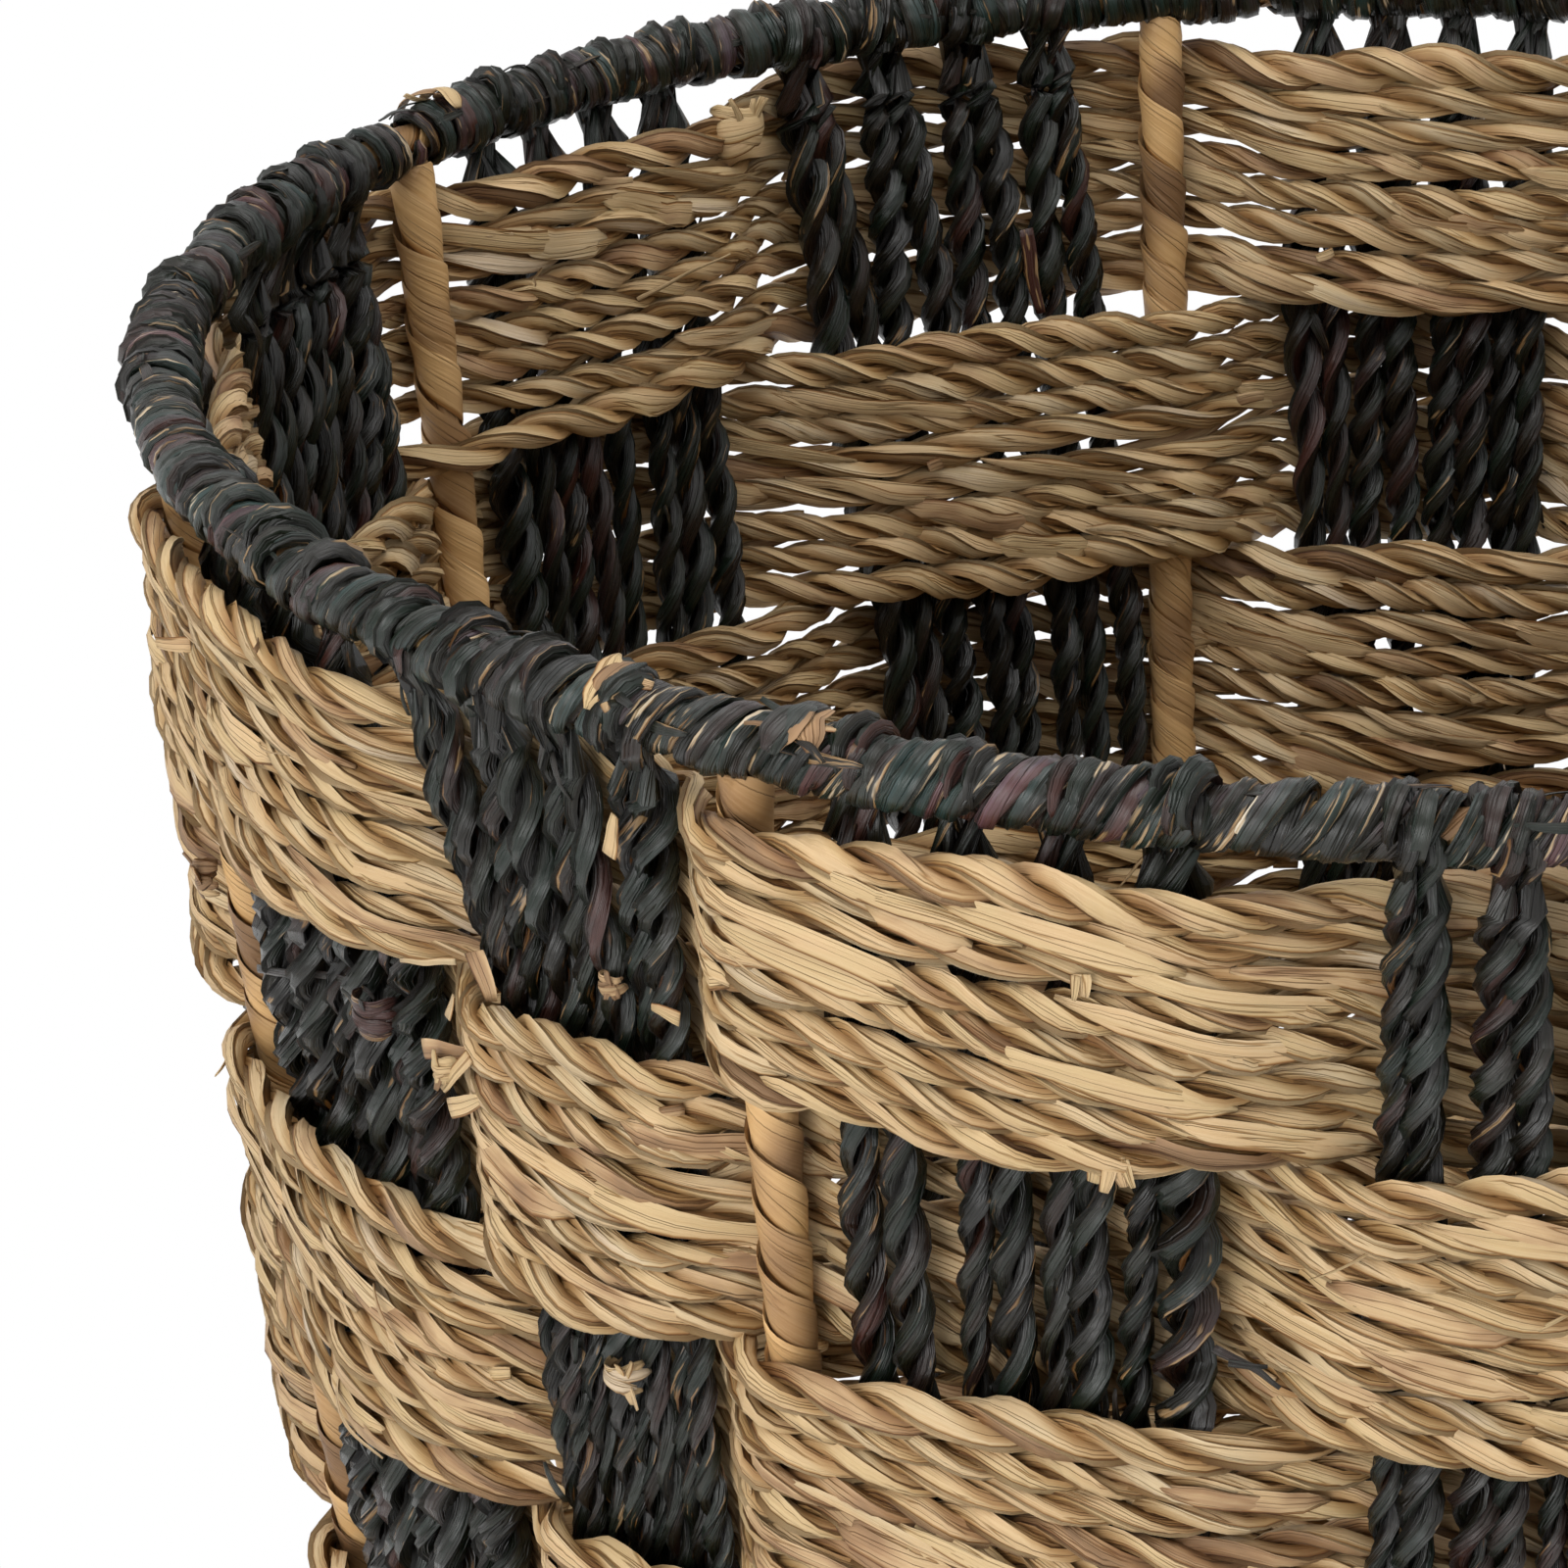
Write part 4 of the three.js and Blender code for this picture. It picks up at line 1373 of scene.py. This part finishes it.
def grass(name, stops, lines, edge, core, crease, rough, shine, accent=None):
    """Grass blades: fine lines and folds along each blade; painted shade in the folds, at the tucked edge and
    deep in a cord, and a painted highlight on the lip and on the outside of the rim's cords
    """
    material = bpy.data.materials.get(name)
    if material:
        return material
    material = bpy.data.materials.new(name)
    nodes = Nodes(material)
    blade, depth = nodes.attribute("blade", "Vector"), nodes.attribute("core")
    place = nodes.make("ShaderNodeSeparateXYZ", blade)
    fine = nodes.noise(blade, LINES, LINE_DETAIL)
    folds = nodes.sum("ABSOLUTE", nodes.sum("SUBTRACT", nodes.noise(blade, FOLDS, 1.0), 0.5))
    fold = nodes.ranged(folds, (0.0, FOLD_WIDTH), 0.0, 1.0)
    scale = nodes.sum("MULTIPLY_ADD", nodes.attribute("tone"), TONE_SHARE, TONE_START)
    colour = nodes.ramp(nodes.sum("MULTIPLY_ADD", nodes.noise(blade, PATCHES), PATCH_SHARE, scale), stops)
    if accent is not None:
        colour = accent(nodes, blade, place, depth, colour)
    shade = nodes.ranged(fine, LINE_PLACES, 1 - lines, 1 + lines * LINE_BRIGHTER)
    shade = nodes.sum("POWER", shade, nodes.ranged(depth, OUTER_PLACES, OUTER_LINES, 1.0))
    # Painted light: shade at the tucked edge, a highlight on the lip, shade deep in the cord, a highlight on
    # the outside of the rim's cords, and shade in the folds
    painted_light = (
        nodes.ranged(place, EDGE_PLACES, 1.0, edge),
        nodes.ranged(place, LIP_PLACES, LIP_HIGHLIGHT, 1.0),
        nodes.ranged(depth, DEEP_PLACES, 1.0, core),
        nodes.ranged(depth, PAINTED_SHEEN_PLACES, PAINTED_SHEEN, 1.0),
        nodes.ranged(fold, (0.0, 1.0), crease, 1.0),
    )
    for factor in painted_light:
        shade = nodes.sum("MULTIPLY", shade, factor)
    # Green and blue fall faster than red where lines and painted shade darken a blade, so the painted shade
    # is warm
    green, blue = (nodes.sum("POWER", shade, power) for power in WARMTH)
    lines_and_painted_shade = nodes.make("ShaderNodeCombineColor", shade, green, blue)
    height = nodes.sum("MULTIPLY_ADD", fine, 0.5, nodes.sum("MULTIPLY", fold, 0.5))
    shader = nodes.make(
        "ShaderNodeBsdfPrincipled",
        Base_Color=nodes.blend(1.0, colour, lines_and_painted_shade, "MULTIPLY"),
        Roughness=nodes.ranged(fine, GLOSS_PLACES, *(rough + step for step in GLOSS_ROUGHER)),
        Specular_IOR_Level=shine,
        Normal=nodes.make("ShaderNodeBump", Strength=1.0, Distance=RELIEF, Height=height),
    )
    nodes.node("ShaderNodeOutputMaterial", shader)
    return material


def natural_grass():
    """Dried seagrass: straw blades, some pale and a few brown"""
    weft = settings("basket_weft")
    straw, brown, pale = np.array(weft.straw), np.array(weft.shadow), np.array(weft.bleached)
    stops = (
        (0.0, brown * 0.7),
        (0.08, brown),
        (0.22, (brown + 3 * straw) / 4),
        (0.42, straw * (0.94, 0.98, 0.94)),
        (0.62, straw),
        (0.85, (pale + straw) / 2 * (0.97, 1.01, 0.97)),
        (1.0, pale),
    )
    # edge, core and crease: levels of painted shade at tucked edges, deep in the cords and in folds
    return grass("straw_cord", stops, lines=0.11, edge=0.29, core=0.50, crease=0.58, rough=0.52, shine=0.34)


def add_flecks(nodes, blade, place, depth, colour):
    """Tan streaks where the dye missed, most of them along the edges of the blades"""
    off_middle = nodes.sum("ABSOLUTE", nodes.sum("SUBTRACT", place, 0.5))
    near_edge = nodes.ranged(off_middle, *FLECK_EDGES)
    streaks = nodes.sum("ADD", nodes.noise(blade, DYE_STREAKS), near_edge)
    spots = nodes.sum("MULTIPLY_ADD", nodes.noise(blade, DYE_PATCHES, 1.0), FLECK_PATCHES, streaks)
    spots = nodes.sum("ADD", spots, nodes.ranged(depth, *FLECK_DEPTH))
    undyed = (*settings("basket_warp").undyed, 1)
    return nodes.blend(nodes.ranged(spots, *FLECK_MIX), colour, undyed)


def dyed_grass():
    """Dyed seagrass: green-black blades, some plum, with tan where the dye missed"""
    warp = settings("basket_warp")
    dye, plum, teal = np.array(warp.dye), np.array(warp.plum), np.array(warp.teal)
    stops = (
        (0.0, dye * 0.5),
        (0.22, dye * 0.9),
        (0.40, teal),
        (0.62, (teal + 2 * dye) / 2),
        (0.78, (plum + 2 * dye) / 3),
        (0.92, plum),
        (1.0, plum * (1.5, 1.1, 1.0)),
    )
    # edge, core and crease: levels of painted shade at tucked edges, deep in the cords and in folds
    look = {"lines": 0.24, "edge": 0.40, "core": 0.30, "crease": 0.55, "rough": 0.27, "shine": 0.50}
    return grass("dyed_cord", stops, accent=add_flecks, **look)


def wire_ribbon():
    """Flat tan ribbon of grass, with painted shade at its tucked edge"""
    main = np.array(settings("basket_wire").ribbon_colour)
    stops = (
        (0.0, main * (0.34, 0.29, 0.27)),
        (0.25, main * (0.60, 0.54, 0.49)),
        (0.50, main * (0.92, 0.88, 0.80)),
        (0.75, main * (1.10, 1.06, 0.94)),
        (1.0, main * (1.30, 1.30, 1.25)),
    )
    # edge and crease: painted shade at the ribbon's tucked edge and in its folds
    return grass("tan_ribbon", stops, lines=0.12, edge=0.4, core=1.0, crease=0.86, rough=0.5, shine=0.35)


class BASKET_OT_stage(bpy.types.Operator):
    """Sets up the floor, the soft lamps and the camera"""

    bl_idname = "basket.stage"
    bl_label = "Stage"

    def execute(self, context):
        scene, stage = context.scene, settings("basket_stage")
        scene.view_settings.view_transform = "Standard"
        camera = bpy.data.objects.new("camera", bpy.data.cameras.new("camera"))
        camera.location = CAMERA_PLACE
        camera.rotation_euler = Euler([math.radians(turn) for turn in CAMERA_TURN])
        camera.data.sensor_width = SENSOR
        camera.data.lens = SENSOR / 2 / math.tan(math.radians(CAMERA_ANGLE / 2))
        camera.data.clip_start, camera.data.clip_end = CAMERA_CLIP
        scene.collection.objects.link(camera)
        scene.camera = camera
        self.add_lamp(scene, "lamp_above", *LAMP_ABOVE, stage.key)
        self.add_lamp(scene, "lamp_front", *LAMP_FRONT, stage.fill)
        self.add_world(scene, stage)
        self.add_floor(scene, stage)
        return {"FINISHED"}

    def add_lamp(self, scene, name, place, size, power):
        """A square soft lamp that looks at the basket"""
        lamp = bpy.data.objects.new(name, bpy.data.lights.new(name, "AREA"))
        lamp.data.size = size
        lamp.data.energy = power
        lamp.location = place
        x, y, z = np.array([0, 0, RIM_Z / 2]) - place
        lamp.rotation_euler = Euler((math.atan2(math.hypot(x, y), -z), 0, math.atan2(y, x) - math.pi / 2))
        scene.collection.objects.link(lamp)

    def add_world(self, scene, stage):
        """Even white light, and plain white behind the basket"""
        scene.world = bpy.data.worlds.new("studio")
        nodes = Nodes(scene.world)
        plain = nodes.make("ShaderNodeBackground", WHITE, stage.world)
        white = nodes.make("ShaderNodeBackground", WHITE, 1.0)
        nodes.mixed(nodes.seen(), plain, white, "ShaderNodeOutputWorld")

    def add_floor(self, scene, stage):
        """A round pale floor that turns to plain white away from the basket"""
        mesh = bpy.data.meshes.new("floor")
        edge = on_wall(np.linspace(0, TAU, FLOOR_SIDES, endpoint=False), FLOOR_REACH, 0.0)
        mesh.from_pydata([tuple(point) for point in edge], [], [list(range(FLOOR_SIDES))])
        material = bpy.data.materials.new("floor")
        nodes = Nodes(material)
        place = nodes.node("ShaderNodeTexCoord").outputs["Object"]
        distance = nodes.node("ShaderNodeVectorMath", place, operation="LENGTH").outputs["Value"]
        far = nodes.sum("MULTIPLY", nodes.ranged(distance, FLOOR_FADE, 0.0, 1.0), nodes.seen())
        diffuse = nodes.make("ShaderNodeBsdfDiffuse", (*stage.floor_colour, 1))
        white = nodes.make("ShaderNodeEmission", WHITE, 1.0)
        nodes.mixed(far, diffuse, white, "ShaderNodeOutputMaterial")
        mesh.materials.append(material)
        floor = bpy.data.objects.new("floor", mesh)
        scene.collection.objects.link(floor)


class BASKET_PT_panel(bpy.types.Panel):
    """The steps of the basket, in order"""

    bl_idname = "BASKET_PT_panel"
    bl_label = "Basket"
    bl_space_type = "VIEW_3D"
    bl_region_type = "UI"
    bl_category = "Basket"

    def draw(self, context):
        for step in STEPS:
            self.layout.operator(step.bl_idname)
        for name, group in GROUPS_OF_SETTINGS.items():
            box = self.layout.box()
            for prop in group.__annotations__:
                box.prop(getattr(context.scene, name), prop)


STEPS = (
    BASKET_OT_weft,
    BASKET_OT_warp,
    BASKET_OT_rim,
    BASKET_OT_wires,
    BASKET_OT_mat,
    BASKET_OT_trim,
    BASKET_OT_stage,
)
GROUPS_OF_SETTINGS = {
    "basket_weft": WeftSettings,
    "basket_warp": WarpSettings,
    "basket_rim": RimSettings,
    "basket_wire": WireSettings,
    "basket_trim": TrimSettings,
    "basket_stage": StageSettings,
}


def register():
    """Adds the settings, the steps and the panel"""
    for name, group in GROUPS_OF_SETTINGS.items():
        bpy.utils.register_class(group)
        setattr(bpy.types.Scene, name, PointerProperty(type=group))
    for step in (*STEPS, BASKET_PT_panel):
        bpy.utils.register_class(step)


def unregister():
    """Takes the panel, the steps and the settings away"""
    for step in (BASKET_PT_panel, *reversed(STEPS)):
        bpy.utils.unregister_class(step)
    for name, group in GROUPS_OF_SETTINGS.items():
        delattr(bpy.types.Scene, name)
        bpy.utils.unregister_class(group)


def main():
    """Runs every step"""
    register()
    bpy.ops.basket.weft()
    bpy.ops.basket.warp()
    bpy.ops.basket.rim()
    bpy.ops.basket.wires()
    bpy.ops.basket.mat()
    bpy.ops.basket.trim()
    bpy.ops.basket.stage()
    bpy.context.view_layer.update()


if __name__ == "__main__":
    main()
